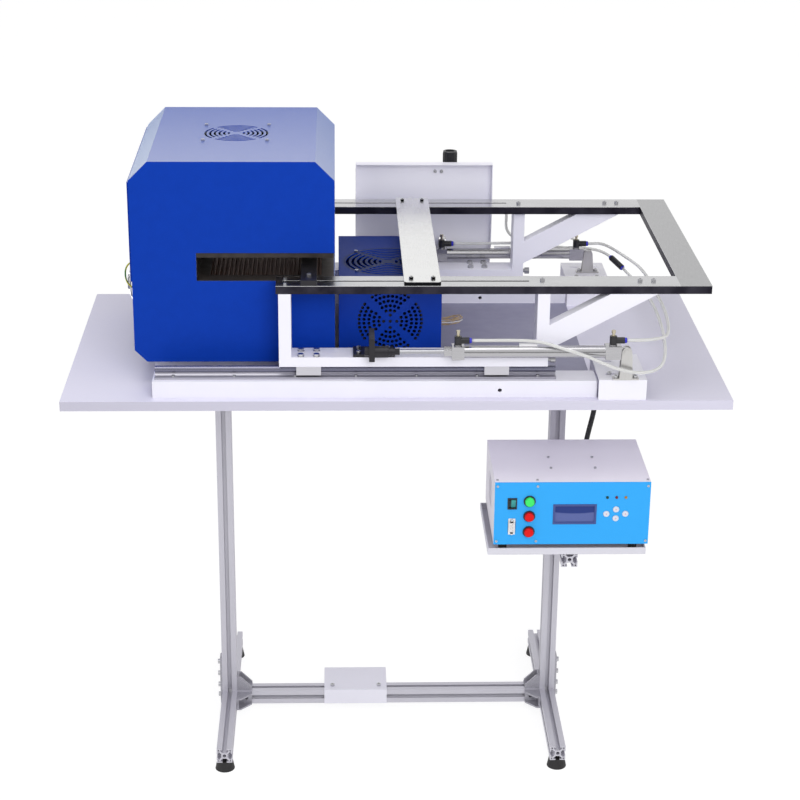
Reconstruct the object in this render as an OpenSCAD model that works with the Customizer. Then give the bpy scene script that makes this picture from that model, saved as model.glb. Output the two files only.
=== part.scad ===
// Heat shrink machine: a tunnel oven, a pneumatic wire carriage, a bench on two T legs and a control case.
// Millimetres, +X along the bench, +Y to its back, +Z up, floor at z = 0.

/* [Bench] */
// Width of the tabletop
top_w = 1200; // [1150:10:1400]
// Depth of the tabletop
top_d = 600; // [580:10:700]
// Thickness of the tabletop
top_t = 18; // [15:1:30]
// Height of the tabletop's upper face above the floor
top_z = 800; // [740:5:860]
// Side of the square slotted profile
prof = 30; // [28:1:32]
// Spacing of the two legs
leg_span = 650; // [560:10:700]
// Offset of the leg pair from the bench's middle
leg_off = -4; // [-20:1:20]
// Length of each foot
foot_l = 480; // [400:10:560]
// Length of each arm under the tabletop
arm_l = 400; // [300:10:420]
// Height of the rubber feet
pad_h = 20; // [12:1:30]
// Base diameter of the rubber feet
pad_d = 38; // [30:1:44]

/* [Base and rails] */
// Left end of the base
base_x0 = -437; // [-460:1:-420]
// Right end of the base
base_x1 = 356; // [340:1:356]
// Height of the base channels
base_h = 32; // [24:1:40]
// Width of each base channel
base_w = 52; // [46:1:60]
// Distance of the rail centres from the machine's middle
rail_y = 258; // [254:1:262]
// Left end of the rails
rail_x0 = -433; // [-436:1:-410]
// Length of the rails
rail_l = 716; // [660:1:740]
// Diameter of the rail shafts
shaft_d = 12; // [10:1:13]
// Height of the shaft centre above the base
shaft_h = 14; // [13:1:16]
// Width of the rail support's flange
rail_flange = 34; // [30:1:38]

/* [Carriage] */
// Left face of the carriage frames
car_x0 = -211.5; // [-225:1:-205]
// Right face of the carriage frames
car_x1 = 267; // [260:1:280]
// Height of the carriage beam above the base
car_lift = 25; // [24:1:30]
// Thickness of the carriage beam
beam_h = 18; // [14:1:22]
// Depth of the carriage tubes
tube_d = 50; // [44:1:52]
// Width of the carriage uprights
tube_w = 22; // [20:1:28]
// Height of the ring's upper face above the tabletop
ring_z = 208; // [200:1:216]
// Thickness of the ring bars
ring_t = 15; // [8:1:16]
// Width of the ring bars
ring_w = 56; // [46:1:58]
// Left end of the ring
ring_x0 = -216; // [-225:1:-210]
// Right end of the ring
ring_x1 = 552; // [520:1:570]
// Travel of the carriage towards the oven
car_travel = 160; // [100:1:165]
// Width of the groove along the ring bars
groove_w = 6; // [5:0.5:8]
// Right end of that groove
groove_x1 = 231; // [200:1:240]
// Width of the sliding cross plate
plate_w = 65; // [50:1:75]
// Middle of the sliding cross plate
plate_x = 42; // [20:1:60]
// Thickness of the sliding cross plate
plate_t = 5; // [2:0.5:6]
// Middle of the fixed cross bar
bar_x = -158; // [-165:1:-150]
// Width of the fixed cross bar
bar_w = 28; // [20:1:32]
// Thickness of the fixed cross bar
bar_t = 10; // [6:1:12]

/* [Oven] */
// Left side of the oven
oven_x0 = -473; // [-485:1:-465]
// Right side of the oven
oven_x1 = -112; // [-122:1:-112]
// Half depth of the oven
oven_y = 207; // [190:1:208]
// Underside of the oven above the tabletop
oven_lift = 41; // [38:1:48]
// Height of the oven
oven_h = 371; // [340:1:400]
// Chamfer of the oven's upper edges
oven_c = 34; // [20:1:44]
// Chamfer of the oven's lower edges
oven_cb = 22; // [14:1:30]
// Sheet thickness of the oven
sheet = 2; // [1.5:0.5:3]
// Left end of the tunnel slot
slot_x0 = -358; // [-365:1:-352]
// Underside of the tunnel slot above the tabletop
slot_z0 = 194; // [188:1:195]
// Height of the tunnel slot
slot_h = 52; // [46:1:64]
// Radius of the fan grilles
grille_r = 59; // [50:1:60]
// Side of the square fan frames
fan_a = 120; // [118:1:124]
// Depth of the fan frames
fan_t = 25; // [20:1:30]
// Number of blades of a fan
blades = 7; // [5:1:9]

/* [Fan box] */
// Left side of the fan box
fb_x0 = -105; // [-106:1:-98]
// Right side of the fan box
fb_x1 = 82; // [60:1:90]
// Half depth of the fan box
fb_y = 165; // [140:1:200]
// Height of the fan box
fb_h = 124; // [122:1:128]
// Diameter of the holes of its front pattern
dot_d = 6; // [5:0.5:6.5]
// Pitch of the arcs in that pattern
dot_p = 9; // [8.6:0.1:9.2]

/* [Cylinders] */
// Diameter of the cylinder tubes
cyl_d = 22; // [20:1:23]
// Left end of the cylinder tubes
cyl_x0 = 116; // [110:1:130]
// Length of the cylinder tubes
cyl_l = 250; // [230:1:260]
// Diameter of the piston rods
rod_d = 8; // [6:1:10]
// Height of the cylinder axes above the tabletop
cyl_h = 90; // [90:1:94]
// Diameter of the air hoses
hose_d = 6; // [5:0.5:6]

/* [Control case] */
// Width of the control case
case_w = 285; // [280:1:320]
// Height of the control case
case_h = 124; // [120:1:140]
// Depth of the control case
case_d = 200; // [180:1:205]
// Left side of the control case
case_x0 = 178; // [170:1:190]
// Underside of the control case above the floor
case_z = 513; // [480:1:540]
// Gap between the tabletop's front edge and the case's panel
case_in = 10; // [10:1:14]
// Diameter of the push-button caps
button_d = 17; // [14:1:18]
// Travel of the push buttons
button_travel = 2.5; // [1.5:0.1:3]
// Diameter of the menu keys
key_d = 11.5; // [9:0.5:12.5]

/* [Rear panel] */
// Left side of the rear panel
rp_x0 = -70; // [-90:1:-60]
// Width of the rear panel
rp_w = 277; // [240:1:290]
// Height of the rear panel above the tabletop
rp_h = 272; // [250:1:290]
// Depth of its folded edges
rp_f = 20; // [14:1:20]

/* [Hidden] */
$fn = 40;

// Bench
half_w = top_w / 2;
half_d = top_d / 2;
top_under = top_z - top_t;
leg_x = [leg_off - leg_span / 2, leg_off + leg_span / 2];
foot_top = pad_h + prof;
joint_t = 4;
joint_z = pad_h + 1;
joint_h = 102;
joint_holes = [pad_h + prof / 2, foot_top + 8, foot_top + 34, joint_z + joint_h - 12];
pb_x0 = -136;
pb_w = 128;
arm_z = top_under - prof;
// Rear reach of the regulator and front reach of the clevises set the middle of the outline
frame_y0 = rail_y - 5 - tube_d / 2;
frame_y1 = frame_y0 + tube_d;
cyl_y = frame_y1 + 1.5 + cyl_d / 2;
panel_y = cyl_y + cyl_d / 2 + 4;
reg_a = 40;
rear_reach = panel_y + rp_f + reg_a;
front_reach = cyl_y + 12;
mid_y = (rear_reach - front_reach) / 2;
// Base, rails and carriage
base_t = 3;
plinth_t = 3;
hole_x = 182;
hole_h = 14;
screw_n = 7;
screw_p = (rail_l - 66) / (screw_n - 1);
flange_t = 4;
web_w = 6;
base_top = top_z + base_h;
shaft_z = base_top + shaft_h;
beam_z = base_top + car_lift;
ring_top = top_z + ring_z;
ring_under = ring_top - ring_t;
ring_y1 = frame_y1;
ring_y0 = ring_y1 - ring_w;
groove_y = (ring_y0 + ring_y1) / 2;
// Rise and pitch of the braces behind the right uprights
diag_b = tube_d - 4;
diag_k = 0.545;
brace_w = tube_d / 2;
plate_o = plate_w * 0.3;
block_l = 44;
block_w = 40;
block_x = [bar_x - 1, car_x1 - 91];
gap = 0.3;
// Oven
oven_z = top_z + oven_lift;
oven_top = oven_z + oven_h;
slot_z = top_z + slot_z0;
slot_top = slot_z + slot_h;
oven_mx = (oven_x0 + oven_x1) / 2;
liner_t = 2;
mesh_n = 24;
heat_m = 4;
side_fan_y = 0;
side_fan_z = oven_z + oven_cb + sheet + fan_a / 2;
// Fan box
fb_mx = (fb_x0 + fb_x1) / 2;
fb_top = oven_z + fb_h;
lead_d = 3;
dot_n = [1, 3, 5, 6, 8, 10];
dot_s = 7.8;
top_grille_r = 80;
// Cylinders
cyl_z = top_z + cyl_h;
cyl_x1 = cyl_x0 + cyl_l;
cap_f = 22;
cap_r = 28;
cap_h = cyl_d + 2;
sens_x0 = 213;
sens_l = 32;
rod_x0 = 2;
piston_l = 16;
lug_t = 8;
ear_t = 3;
cb_x0 = base_x1 + 1.5;
cb_w = 86;
cb_d = 132;
cb_y = [cyl_y + 6, cyl_y + 63.5];
cb_top = [top_z + 38, top_z + 50];
foot_w = 46;
foot_t = 3;
pin_x = cyl_x1 + cap_r + 11;
port_x = [cyl_x0 - cap_f / 2, cyl_x1 + cap_r / 2];
fit_r = 7;
fit_z = cyl_z + cyl_d / 2 + 3;
body_h = 15;
out_l = 24;
// Control case
case_y = -half_d + case_in;
case_y1 = case_y + case_d;
case_top = case_z + case_h;
case_x1 = case_x0 + case_w;
face_y = case_y - 2;
shelf_z = case_z - 21;
button_x = case_x0 + 64;
button_z = [case_z + 87, case_z + 57, case_z + 26];
gland_x = case_x1 - 93;
gland_z = case_z + 75;
base_gx = 300;
base_gz = top_z + 16;
key_x = case_x0 + 223;
key_z = case_z + 61;
key_o = [[0, 9], [-17.5, 0], [17.5, 0], [0, -9]];
rocker_x = case_x0 + 32.5;
rocker_z = case_z + 82;
// Rear panel
rp_top = top_z + rp_h;
rp_y = panel_y + rp_f;
reg_x = rp_x0 + 192;
valve_x = reg_x + 38;
reg_drop = 46;
port_dx = 39;
port_dy = 14.5;
grommet_x = port_x[0] + 3.5;
knob_d = 28;
knob_h = 26;
panel_bolts = [161, 174];
foot_bolts = [30, 140, rp_w - 30];
// Centre lines of the hoses, the case cable and the two short leads
route_front = [[129, -290.5, 911], [170, -290.5, 911], [215, -291, 911], [250, -294, 909],
    [290, -303, 900], [330, -308, 888], [370, -310, 871], [410, -308, 858], [445, -296, 853],
    [470, -270, 853], [484, -230, 860], [490, -180, 872], [491, -110, 886], [487, 30, 890],
    [485, 160, 874], [482, 215, 867], [475, 253, 868], [449, 286, 886], [428, 301, 893],
    [400, 309, 895], [365, 307, 897], [285, 296, 909], [170, 290.5, 911], [129, 290.5, 911]];
route_cross = [[404, -290.5, 911], [426, -290.5, 911], [453, -280, 909], [476, -254, 904],
    [491, -210, 899], [498, -160, 899], [501, -100, 902], [499, -30, 906], [496, 40, 909],
    [491, 110, 910], [484, 170, 907], [473, 225, 903], [455, 270, 905], [428, 290.5, 911],
    [404, 290.5, 911]];
route_rear = [[105, 303.5, 911], [105, 312, 911], [109, 326, 911], [119, 336, 911], [133, 340, 911],
    [147, 340, 915], [157, 340, 925], [161, 340, 939], [161, 340, 952]];
route_valve = [[380, 303.5, 911], [380, 312, 911], [376, 326, 911], [366, 336, 911], [352, 340, 911],
    [310, 340, 909], [268, 340, 908], [254, 340, 912], [244, 340, 922], [240, 340, 936],
    [240, 340, 957], [236, 340, 971], [226, 340, 981], [212, 340, 985], [182, 340, 985]];
route_case = [[370, -76, 588], [370, -64, 588], [374, -34, 597], [382, -14, 622], [390, -8, 656],
    [395, 0, 688], [395, 24, 716], [391, 64, 726], [380, 128, 724], [356, 190, 724], [324, 244, 724],
    [303, 284, 724], [300, 320, 727], [300, 344, 747], [300, 349, 780], [300, 336, 804],
    [300, 310, 816], [300, 292, 816]];
route_earth = [[-476, -90, 992], [-484, -90, 992], [-493, -90, 985], [-497, -90, 969], [-493, -90, 952],
    [-484, -90, 944], [-473, -90, 944]];
route_lead = [[80, -118, 883], [94, -118, 883], [108, -118, 886], [116, -115, 888], [120, -107, 889],
    [116, -99, 888], [108, -96, 886], [94, -96, 883], [80, -96, 883]];

// The straight stretch of the long hose in its union
union_a = route_front[16];
union_b = route_front[17];
union_l = 34;

// Places a child in the frame whose origin is the middle of the outline on the floor
module seat() {
    translate([0, -mid_y, 0]) children();
}

// A box between two opposite corners
module span(a, b) {
    translate(a) cube([b[0] - a[0], b[1] - a[1], b[2] - a[2]]);
}

// A copy at the front and a mirrored copy at the back
module both_sides() {
    children();
    mirror([0, 1, 0]) children();
}

// Slotted square profile in section: four T slots, a centre hole and four corner holes
module profile_2d() {
    h = prof / 2;
    difference() {
        square(prof, center = true);
        for (a = [0:90:270]) rotate(a) {
            polygon([[-4.1, h + 1], [-4.1, h - 2.2], [-8, h - 2.2], [-8, h - 4.6], [-3.6, h - 9],
                [3.6, h - 9], [8, h - 4.6], [8, h - 2.2], [4.1, h - 2.2], [4.1, h + 1]]);
            translate([h - 3.6, h - 3.6]) circle(d = 3.4, $fn = 20);
        }
        circle(d = 6.8, $fn = 24);
    }
}

module profile_x(l) {
    rotate([90, 0, 90]) linear_extrude(l) profile_2d();
}

module profile_y(l) {
    rotate([-90, 0, 0]) linear_extrude(l) profile_2d();
}

module profile_z(l) {
    linear_extrude(l) profile_2d();
}

// Socket screw with its head up, seated on z = 0, shank length l
module screw(d, l) {
    difference() {
        cylinder(d = 1.7 * d, h = 0.8 * d, $fn = 24);
        translate([0, 0, 0.35 * d]) cylinder(d = 0.95 * d, h = d, $fn = 6);
    }
    if (l > 0) translate([0, 0, -l]) cylinder(d = d, h = l, $fn = 20);
}

// Hexagon bolt head with a washer, seated on z = 0
module hex_head(d) {
    cylinder(d = 2.1 * d, h = 0.2 * d, $fn = 28);
    translate([0, 0, 0.2 * d]) cylinder(d = 1.9 * d, h = 0.65 * d, $fn = 6);
}

module tabletop() {
    color("ghostwhite") seat() span([-half_w, -half_d, top_under], [half_w, half_d, top_z]);
}

module uprights() {
    color("silver") seat() for (x = leg_x) translate([x, 0, foot_top]) profile_z(arm_z - foot_top);
}

module feet() {
    color("silver") seat() for (x = leg_x) translate([x, -foot_l / 2, pad_h + prof / 2])
        profile_y(foot_l);
}

// Crossbar between the feet, arms under the tabletop and the arm of the shelf
module beams() {
    color("silver") seat() {
        translate([leg_x[0] + prof / 2, 0, pad_h + prof / 2]) profile_x(leg_span - prof);
        for (x = leg_x) translate([x, -arm_l / 2, arm_z + prof / 2]) profile_y(arm_l);
        translate([leg_x[1], case_y + 6, shelf_z - prof / 2]) profile_y(-prof / 2 - case_y - 6);
    }
}

// Cast corner bracket: two walls at a right angle with two webs, seated on x = 0 and z = 0
module gusset(s) {
    w = prof - 4;
    difference() {
        translate([0, -w / 2, 0]) cube([s, w, s]);
        translate([4, -w / 2 + 3.5, 4]) cube([s, w - 7, s]);
        translate([s + 4, 0, 4]) rotate([90, 0, 0]) linear_extrude(w + 2, center = true)
            polygon([[0, 0], [0, s], [-s, s]]);
        translate([s * 0.62, 0, -1]) cylinder(d = 6.4, h = 6, $fn = 20);
        translate([-1, 0, s * 0.62]) rotate([0, 90, 0]) cylinder(d = 6.4, h = 6, $fn = 20);
    }
}

// Flat joint plate from the foot to the upright, seated on x = 0
module joint_plate() {
    difference() {
        translate([0, -prof / 2 + 2, joint_z]) cube([joint_t, prof - 4, joint_h]);
        for (z = joint_holes) translate([-1, 0, z]) rotate([0, 90, 0])
            cylinder(d = 6.4, h = joint_t + 2, $fn = 20);
    }
}

module brackets() {
    in_x = [leg_x[0] + prof / 2, leg_x[1] - prof / 2];
    color("darkgray") seat() {
        translate([in_x[0], 0, foot_top]) gusset(prof);
        translate([in_x[1], 0, foot_top]) mirror([1, 0, 0]) gusset(prof);
        for (s = [-1, 1]) {
            translate([in_x[0], s * prof / 2, pad_h + prof / 2]) rotate([-90 * s, 0, 0]) gusset(prof);
            translate([in_x[1], s * prof / 2, pad_h + prof / 2]) rotate([-90 * s, 0, 0])
                mirror([1, 0, 0]) gusset(prof);
        }
        for (i = [0, 1]) translate([leg_x[i] + (i * 2 - 1) * prof / 2, 0, 0])
            mirror([1 - i, 0, 0]) joint_plate();
        for (x = leg_x, s = [-1, 1]) translate([x, s * prof / 2, arm_z]) rotate([180, 0, 90 * s])
            gusset(prof);
        translate([leg_x[1], -prof / 2, shelf_z - prof]) rotate([180, 0, -90]) gusset(prof);
    }
}

module rubber_feet() {
    color("dimgray") seat() {
        for (x = leg_x, s = [-1, 1]) translate([x, s * (foot_l / 2 - prof / 2), 0])
            cylinder(d1 = pad_d, d2 = pad_d - 8, h = pad_h, $fn = 36);
        for (x = [case_x0 + 18, case_x1 - 26], y = [case_y + 14, case_y1 - 14])
            translate([x, y, shelf_z + 2]) cylinder(d1 = 15, d2 = 18, h = case_z - shelf_z - 2, $fn = 28);
    }
}

// Pedal bracket on the crossbar and the folded tray that carries the control case
module sheet_brackets() {
    color("white") seat() {
        difference() {
            translate([pb_x0, 0, foot_top + 2]) rotate([90, 0, 90]) linear_extrude(pb_w)
                polygon([[-prof / 2 - 2, -32], [-prof / 2, -32], [-prof / 2, -2], [76, -2], [76, 0],
                    [-prof / 2 - 2, 0]]);
            for (x = [17, pb_w - 16]) translate([pb_x0 + x, 0, foot_top - 1])
                cylinder(d = 5.4, h = 6, $fn = 20);
        }
        difference() {
            span([case_x0 - 10, case_y - 2, shelf_z], [case_x1 - 3, case_y1, shelf_z + 13]);
            span([case_x0 - 8, case_y, shelf_z + 2], [case_x1 - 5, case_y1 - 2, shelf_z + 14]);
            for (y = [case_y + 40, case_y + 120]) translate([leg_x[1], y, shelf_z - 1])
                cylinder(d = 6.4, h = 6, $fn = 20);
        }
    }
}

// Off-white case: an open-fronted shell with vents on both sides
module case_body() {
    color("gainsboro") seat() difference() {
        span([case_x0, case_y, case_z], [case_x1, case_y1, case_top]);
        span([case_x0 + sheet, case_y - 1, case_z + sheet], [case_x1 - sheet, case_y1 - sheet,
            case_top - sheet]);
        for (i = [0:6]) span([case_x0 - 5, case_y + 70, case_z + 40 + i * 8],
            [case_x1 + 5, case_y + 130, case_z + 44 + i * 8]);
        translate([gland_x, case_y1 - 5, gland_z]) rotate([-90, 0, 0])
            cylinder(d = 16.4, h = 8, $fn = 32);
    }
}

// Blue front panel with its cut-outs
module case_panel() {
    color("deepskyblue") seat() difference() {
        span([case_x0, face_y, case_z], [case_x1, case_y, case_top]);
        for (z = button_z) translate([button_x, face_y - 1, z]) rotate([-90, 0, 0])
            cylinder(d = button_d + 1, h = 5, $fn = 36);
        for (o = key_o) translate([key_x + o[0], face_y - 1, key_z + o[1]]) rotate([-90, 0, 0])
            cylinder(d = key_d + 0.8, h = 5, $fn = 32);
        span([rocker_x - 8.7, face_y - 1, rocker_z - 11.2], [rocker_x + 8.7, case_y + 1, rocker_z + 11.2]);
        span([case_x0 + 107.5, face_y - 1, case_z + 40.5], [case_x0 + 187.5, case_y + 1, case_z + 80.5]);
        span([case_x0 + 25.5, face_y - 1, case_z + 24], [case_x0 + 39.5, case_y + 1, case_z + 49]);
        for (i = [0:2]) translate([case_x0 + 206 + i * 17, face_y - 1, case_z + 94])
            rotate([-90, 0, 0]) cylinder(d = 5.2, h = 5, $fn = 24);
    }
}

// Ring nuts of the buttons, sleeves of the keys, frame of the rocker and frame of the display
module case_trim() {
    color("dimgray") seat() {
        for (z = button_z) translate([button_x, face_y - 2, z]) rotate([-90, 0, 0]) difference() {
            union() {
                cylinder(d = 22, h = 2, $fn = 40);
                translate([0, 0, 2]) cylinder(d = button_d + 1 - 0.1, h = 14, $fn = 36);
            }
            translate([0, 0, -1]) cylinder(d = button_d + 0.1, h = 12, $fn = 36);
        }
        for (o = key_o) translate([key_x + o[0], case_y, key_z + o[1]]) rotate([-90, 0, 0])
            difference() {
                cylinder(d = key_d + 3, h = 5, $fn = 32);
                translate([0, 0, -1]) cylinder(d = key_d + 0.1, h = 3, $fn = 32);
            }
        difference() {
            span([rocker_x - 8.5, face_y - 1.5, rocker_z - 11], [rocker_x + 8.5, case_y + 12, rocker_z + 11]);
            span([rocker_x - 6.5, face_y - 3, rocker_z - 9], [rocker_x + 6.5, case_y + 10, rocker_z + 9]);
            translate([rocker_x - 9, case_y + 2, rocker_z]) rotate([0, 90, 0])
                cylinder(d = 3, h = 18, $fn = 24);
        }
        difference() {
            span([case_x0 + 107.6, face_y - 0.8, case_z + 40.6],
                [case_x0 + 187.4, case_y + 4, case_z + 80.4]);
            span([case_x0 + 111.5, face_y - 2, case_z + 44.5],
                [case_x0 + 183.5, case_y + 5, case_z + 76.5]);
        }
        translate([gland_x, case_y1 - 8, gland_z]) rotate([-90, 0, 0]) {
            cylinder(d = 16, h = 22, $fn = 32);
            translate([0, 0, 8]) cylinder(d = 21, h = 5, $fn = 6);
        }
        translate([base_gx, rail_y + base_w / 2, base_gz]) rotate([-90, 0, 0])
            cylinder(d = 16, h = 8, $fn = 32);
    }
}

// Display glass and the three status lamps
module display() {
    color("darkslategray") seat() {
        span([case_x0 + 111.6, case_y - 1, case_z + 44.6], [case_x0 + 183.4, case_y + 4, case_z + 76.4]);
        for (i = [0:2]) translate([case_x0 + 206 + i * 17, face_y - 1.6, case_z + 94])
            rotate([-90, 0, 0]) cylinder(d = 5, h = 7, $fn = 24);
    }
}

// Nine-pin socket set upright: flange, shell and two hexagon studs
module serial_port() {
    color("gainsboro") seat() translate([case_x0 + 32.5, face_y, case_z + 36.5]) {
        difference() {
            union() {
                span([-6.3, -1, -16], [6.3, 0, 16]);
                span([-4.6, -6, -9], [4.6, -1, 9]);
                span([-5.4, 0, -11], [5.4, 10, 11]);
            }
            span([-3.6, -7, -8], [3.6, -4.5, 8]);
            for (i = [0:4]) translate([1.5, -5, -5.6 + i * 2.8]) rotate([-90, 0, 0])
                cylinder(d = 1.3, h = 6, $fn = 14);
            for (i = [0:3]) translate([-1.5, -5, -4.2 + i * 2.8]) rotate([-90, 0, 0])
                cylinder(d = 1.3, h = 6, $fn = 14);
        }
        for (s = [-1, 1]) translate([0, -6, s * 12.6]) rotate([-90, 0, 0]) cylinder(d = 5, h = 5, $fn = 6);
    }
}

// Two channels under the rails, the deck between them and the plinth of the oven and the fan box
module base() {
    yc = rail_y;
    color("whitesmoke") seat() {
        both_sides() difference() {
            span([base_x0, -yc - base_w / 2, top_z], [base_x1, -yc + base_w / 2, base_top]);
            span([base_x0 - 1, -yc - base_w / 2 + base_t, top_z - 1],
                [base_x1 + 1, -yc + base_w / 2 - base_t, base_top - base_t]);
            translate([hole_x, -yc - base_w / 2 - 1, top_z + hole_h]) rotate([-90, 0, 0])
                cylinder(d = 7, h = base_w + 2, $fn = 24);
        }
        span([base_x0, -yc + base_w / 2, top_z], [base_x1, yc - base_w / 2, top_z + base_t]);
        for (r = [[oven_x0 + 30, oven_x1 - 6], [fb_x0 + 12, fb_x1 - 12]], s = [-1, 1])
            translate([0, s * (fb_y - 30), 0]) difference() {
                span([r[0], -20, top_z + base_t], [r[1], 20, oven_z]);
                span([r[0] - 1, -20 + plinth_t, top_z + base_t + plinth_t],
                    [r[1] + 1, 20 - plinth_t, oven_z - plinth_t]);
            }
    }
}

// Round rails: shafts on aluminium supports with a flange, a web and a cradle
module rails() {
    w = rail_flange / 2;
    top = shaft_h - 2.5;
    color("silver") seat() both_sides() translate([rail_x0, -rail_y, base_top]) {
        difference() {
            rotate([90, 0, 90]) linear_extrude(rail_l) polygon([[-w, 0], [w, 0], [w, flange_t],
                [web_w / 2 + 3, flange_t], [web_w / 2, flange_t + 3], [web_w / 2, top],
                [-web_w / 2, top], [-web_w / 2, flange_t + 3], [-web_w / 2 - 3, flange_t],
                [-w, flange_t]]);
            translate([-1, 0, shaft_h]) rotate([0, 90, 0])
                cylinder(d = shaft_d, h = rail_l + 2, $fn = 40);
        }
        translate([0, 0, shaft_h]) rotate([0, 90, 0]) cylinder(d = shaft_d, h = rail_l, $fn = 40);
    }
}

// Outline of the oven's front: chamfers above, smaller ones below
module oven_outline(d) {
    polygon([[oven_x0 + d + oven_cb, oven_z + d], [oven_x1 - d - oven_cb, oven_z + d],
        [oven_x1 - d, oven_z + d + oven_cb], [oven_x1 - d, oven_top - d - oven_c],
        [oven_x1 - d - oven_c, oven_top - d], [oven_x0 + d + oven_c, oven_top - d],
        [oven_x0 + d, oven_top - d - oven_c], [oven_x0 + d, oven_z + d + oven_cb]]);
}

// Arc slots of a fan grille in four sectors round the middle, with a blank cross between them
module arc_grille_2d(r, rings) {
    pitch = (r - 8) / rings;
    difference() {
        for (i = [0:rings - 1]) difference() {
            circle(r = r - i * pitch);
            circle(r = r - i * pitch - pitch * 0.52);
        }
        for (a = [45, -45]) rotate(a) square([2 * r + 4, 9], center = true);
    }
}

// Square axial fan frame round its rotor, axis along +Z, the hub held by four spokes at z = 0
module fan_frame(a, t) {
    difference() {
        translate([-a / 2, -a / 2, 0]) cube([a, a, t]);
        translate([0, 0, -1]) cylinder(d = a - 6, h = t + 2, $fn = 48);
        for (x = [-1, 1], y = [-1, 1]) translate([x * a * 0.4375, y * a * 0.4375, -1])
            cylinder(d = 4.4, h = t + 2, $fn = 16);
    }
    cylinder(d = 40, h = 5, $fn = 36);
    for (r = [45:90:315]) rotate(r) translate([18, -2.5, 0]) cube([a / 2 - 20, 5, 3]);
    cylinder(d = 5, h = t - 8, $fn = 24);
}

// Fan rotor: hub with pitched blades, running on the frame's spindle
module fan_rotor(a, t) {
    difference() {
        union() {
            translate([0, 0, 6]) cylinder(d = 40, h = t - 9, $fn = 36);
            for (i = [0:blades - 1]) rotate(i * 360 / blades) translate([18, 0, t / 2 + 1])
                rotate([38, 0, 0]) translate([0, -9.5, -0.8]) cube([a / 2 - 23.5, 19, 1.6]);
        }
        cylinder(d = 5.1, h = t - 7, $fn = 24);
    }
}

// Bottom, front and back plates of the oven, each face plate cut by the tunnel slot
module oven_shell() {
    color("royalblue") seat() {
        both_sides() translate([0, -oven_y + sheet, 0]) rotate([90, 0, 0]) linear_extrude(sheet)
            difference() {
                oven_outline(0);
                translate([slot_x0, slot_z]) square([oven_x1 - slot_x0 + 1, slot_h]);
            }
        span([oven_x0 + oven_cb, -oven_y + sheet, oven_z], [oven_x1 - oven_cb, oven_y - sheet,
            oven_z + sheet]);
    }
}

// Wrapped cover between the face plates: sides, chamfers and the top with its fan grille
module oven_cover() {
    yi = oven_y - sheet;
    color("royalblue") seat() {
        difference() {
            rotate([90, 0, 0]) linear_extrude(2 * yi, center = true) difference() {
                oven_outline(0);
                oven_outline(sheet);
                translate([oven_x0 + oven_cb, oven_z - 1])
                    square([oven_x1 - oven_x0 - 2 * oven_cb, sheet + 1]);
                translate([slot_x0, slot_z]) square([oven_x1 - slot_x0 + 1, slot_h]);
            }
            translate([oven_mx, 0, oven_top - sheet - 1]) linear_extrude(sheet + 2)
                arc_grille_2d(grille_r, 6);
            translate([oven_x0 - 1, side_fan_y, side_fan_z]) rotate([0, 90, 0])
                cylinder(r = grille_r - 3, h = sheet + 2, $fn = 48);
        }
        difference() {
            span([oven_x0 - 3, -oven_y + 5, side_fan_z + 66], [oven_x0, oven_y - 5,
                oven_top - oven_c - 4]);
            for (s = [-1, 1]) translate([oven_x0 - 4, s * (oven_y - 25), side_fan_z + 80])
                rotate([0, 90, 0]) cylinder(d = 5, h = 5, $fn = 18);
        }
    }
}

// Steel lining of the tunnel: floor, roof, left wall and the mouth's ledges
module oven_liner() {
    yi = oven_y - sheet;
    color("gray") seat() {
        difference() {
            span([slot_x0 - liner_t, -yi, slot_z - liner_t], [oven_x1 - sheet, yi, slot_top + liner_t]);
            span([slot_x0, -yi - 1, slot_z], [oven_x1 - sheet + 1, yi + 1, slot_top]);
            for (z = [slot_z - liner_t - 1, slot_top - 1]) span([slot_x0 + 22, -yi + 34, z],
                [oven_x1 - 24, yi - 34, z + liner_t + 2]);
        }
        both_sides() span([slot_x0, -yi, slot_top - 9], [oven_x1 - sheet, -yi + 1.5, slot_top]);
    }
}

// Copper-coloured heater panels above and below the tunnel, each a frame with a grid of bars
module heater_panel() {
    lx = oven_x1 - slot_x0 - 46 + 2 * heat_m;
    ly = 2 * (oven_y - sheet - 34 + heat_m);
    difference() {
        cube([lx, ly, 14]);
        for (i = [0:mesh_n - 1]) translate([5 + i * (lx - 10) / mesh_n, 5, 8])
            cube([(lx - 10) / mesh_n - 2.4, ly - 10, 7]);
    }
}

module heaters() {
    yi = oven_y - sheet - 34 + heat_m;
    x0 = slot_x0 + 22 - heat_m;
    color("sienna") seat() {
        translate([x0, -yi, slot_z - liner_t - 14]) heater_panel();
        translate([x0, yi, slot_top + liner_t + 14]) rotate([180, 0, 0]) heater_panel();
    }
}

module at_fan_top() {
    translate([oven_mx, 0, oven_top - sheet]) rotate([180, 0, 0]) children();
}

module at_fan_front() {
    translate([fb_mx, -fb_y + sheet, oven_z + fb_h / 2]) rotate([-90, 0, 0]) children();
}

module at_fan_side() {
    translate([oven_x0 + sheet, side_fan_y, side_fan_z]) rotate([0, 90, 0]) children();
}

module fan_frames() {
    color("dimgray") seat() {
        at_fan_top() fan_frame(fan_a, fan_t);
        at_fan_front() fan_frame(fan_a, fan_t);
        at_fan_side() fan_frame(fan_a, fan_t);
    }
}

module fan_top() {
    color("black") seat() at_fan_top() fan_rotor(fan_a, fan_t);
}

module fan_front() {
    color("black") seat() at_fan_front() fan_rotor(fan_a, fan_t);
}

module fan_side() {
    color("black") seat() at_fan_side() fan_rotor(fan_a, fan_t);
}

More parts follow.
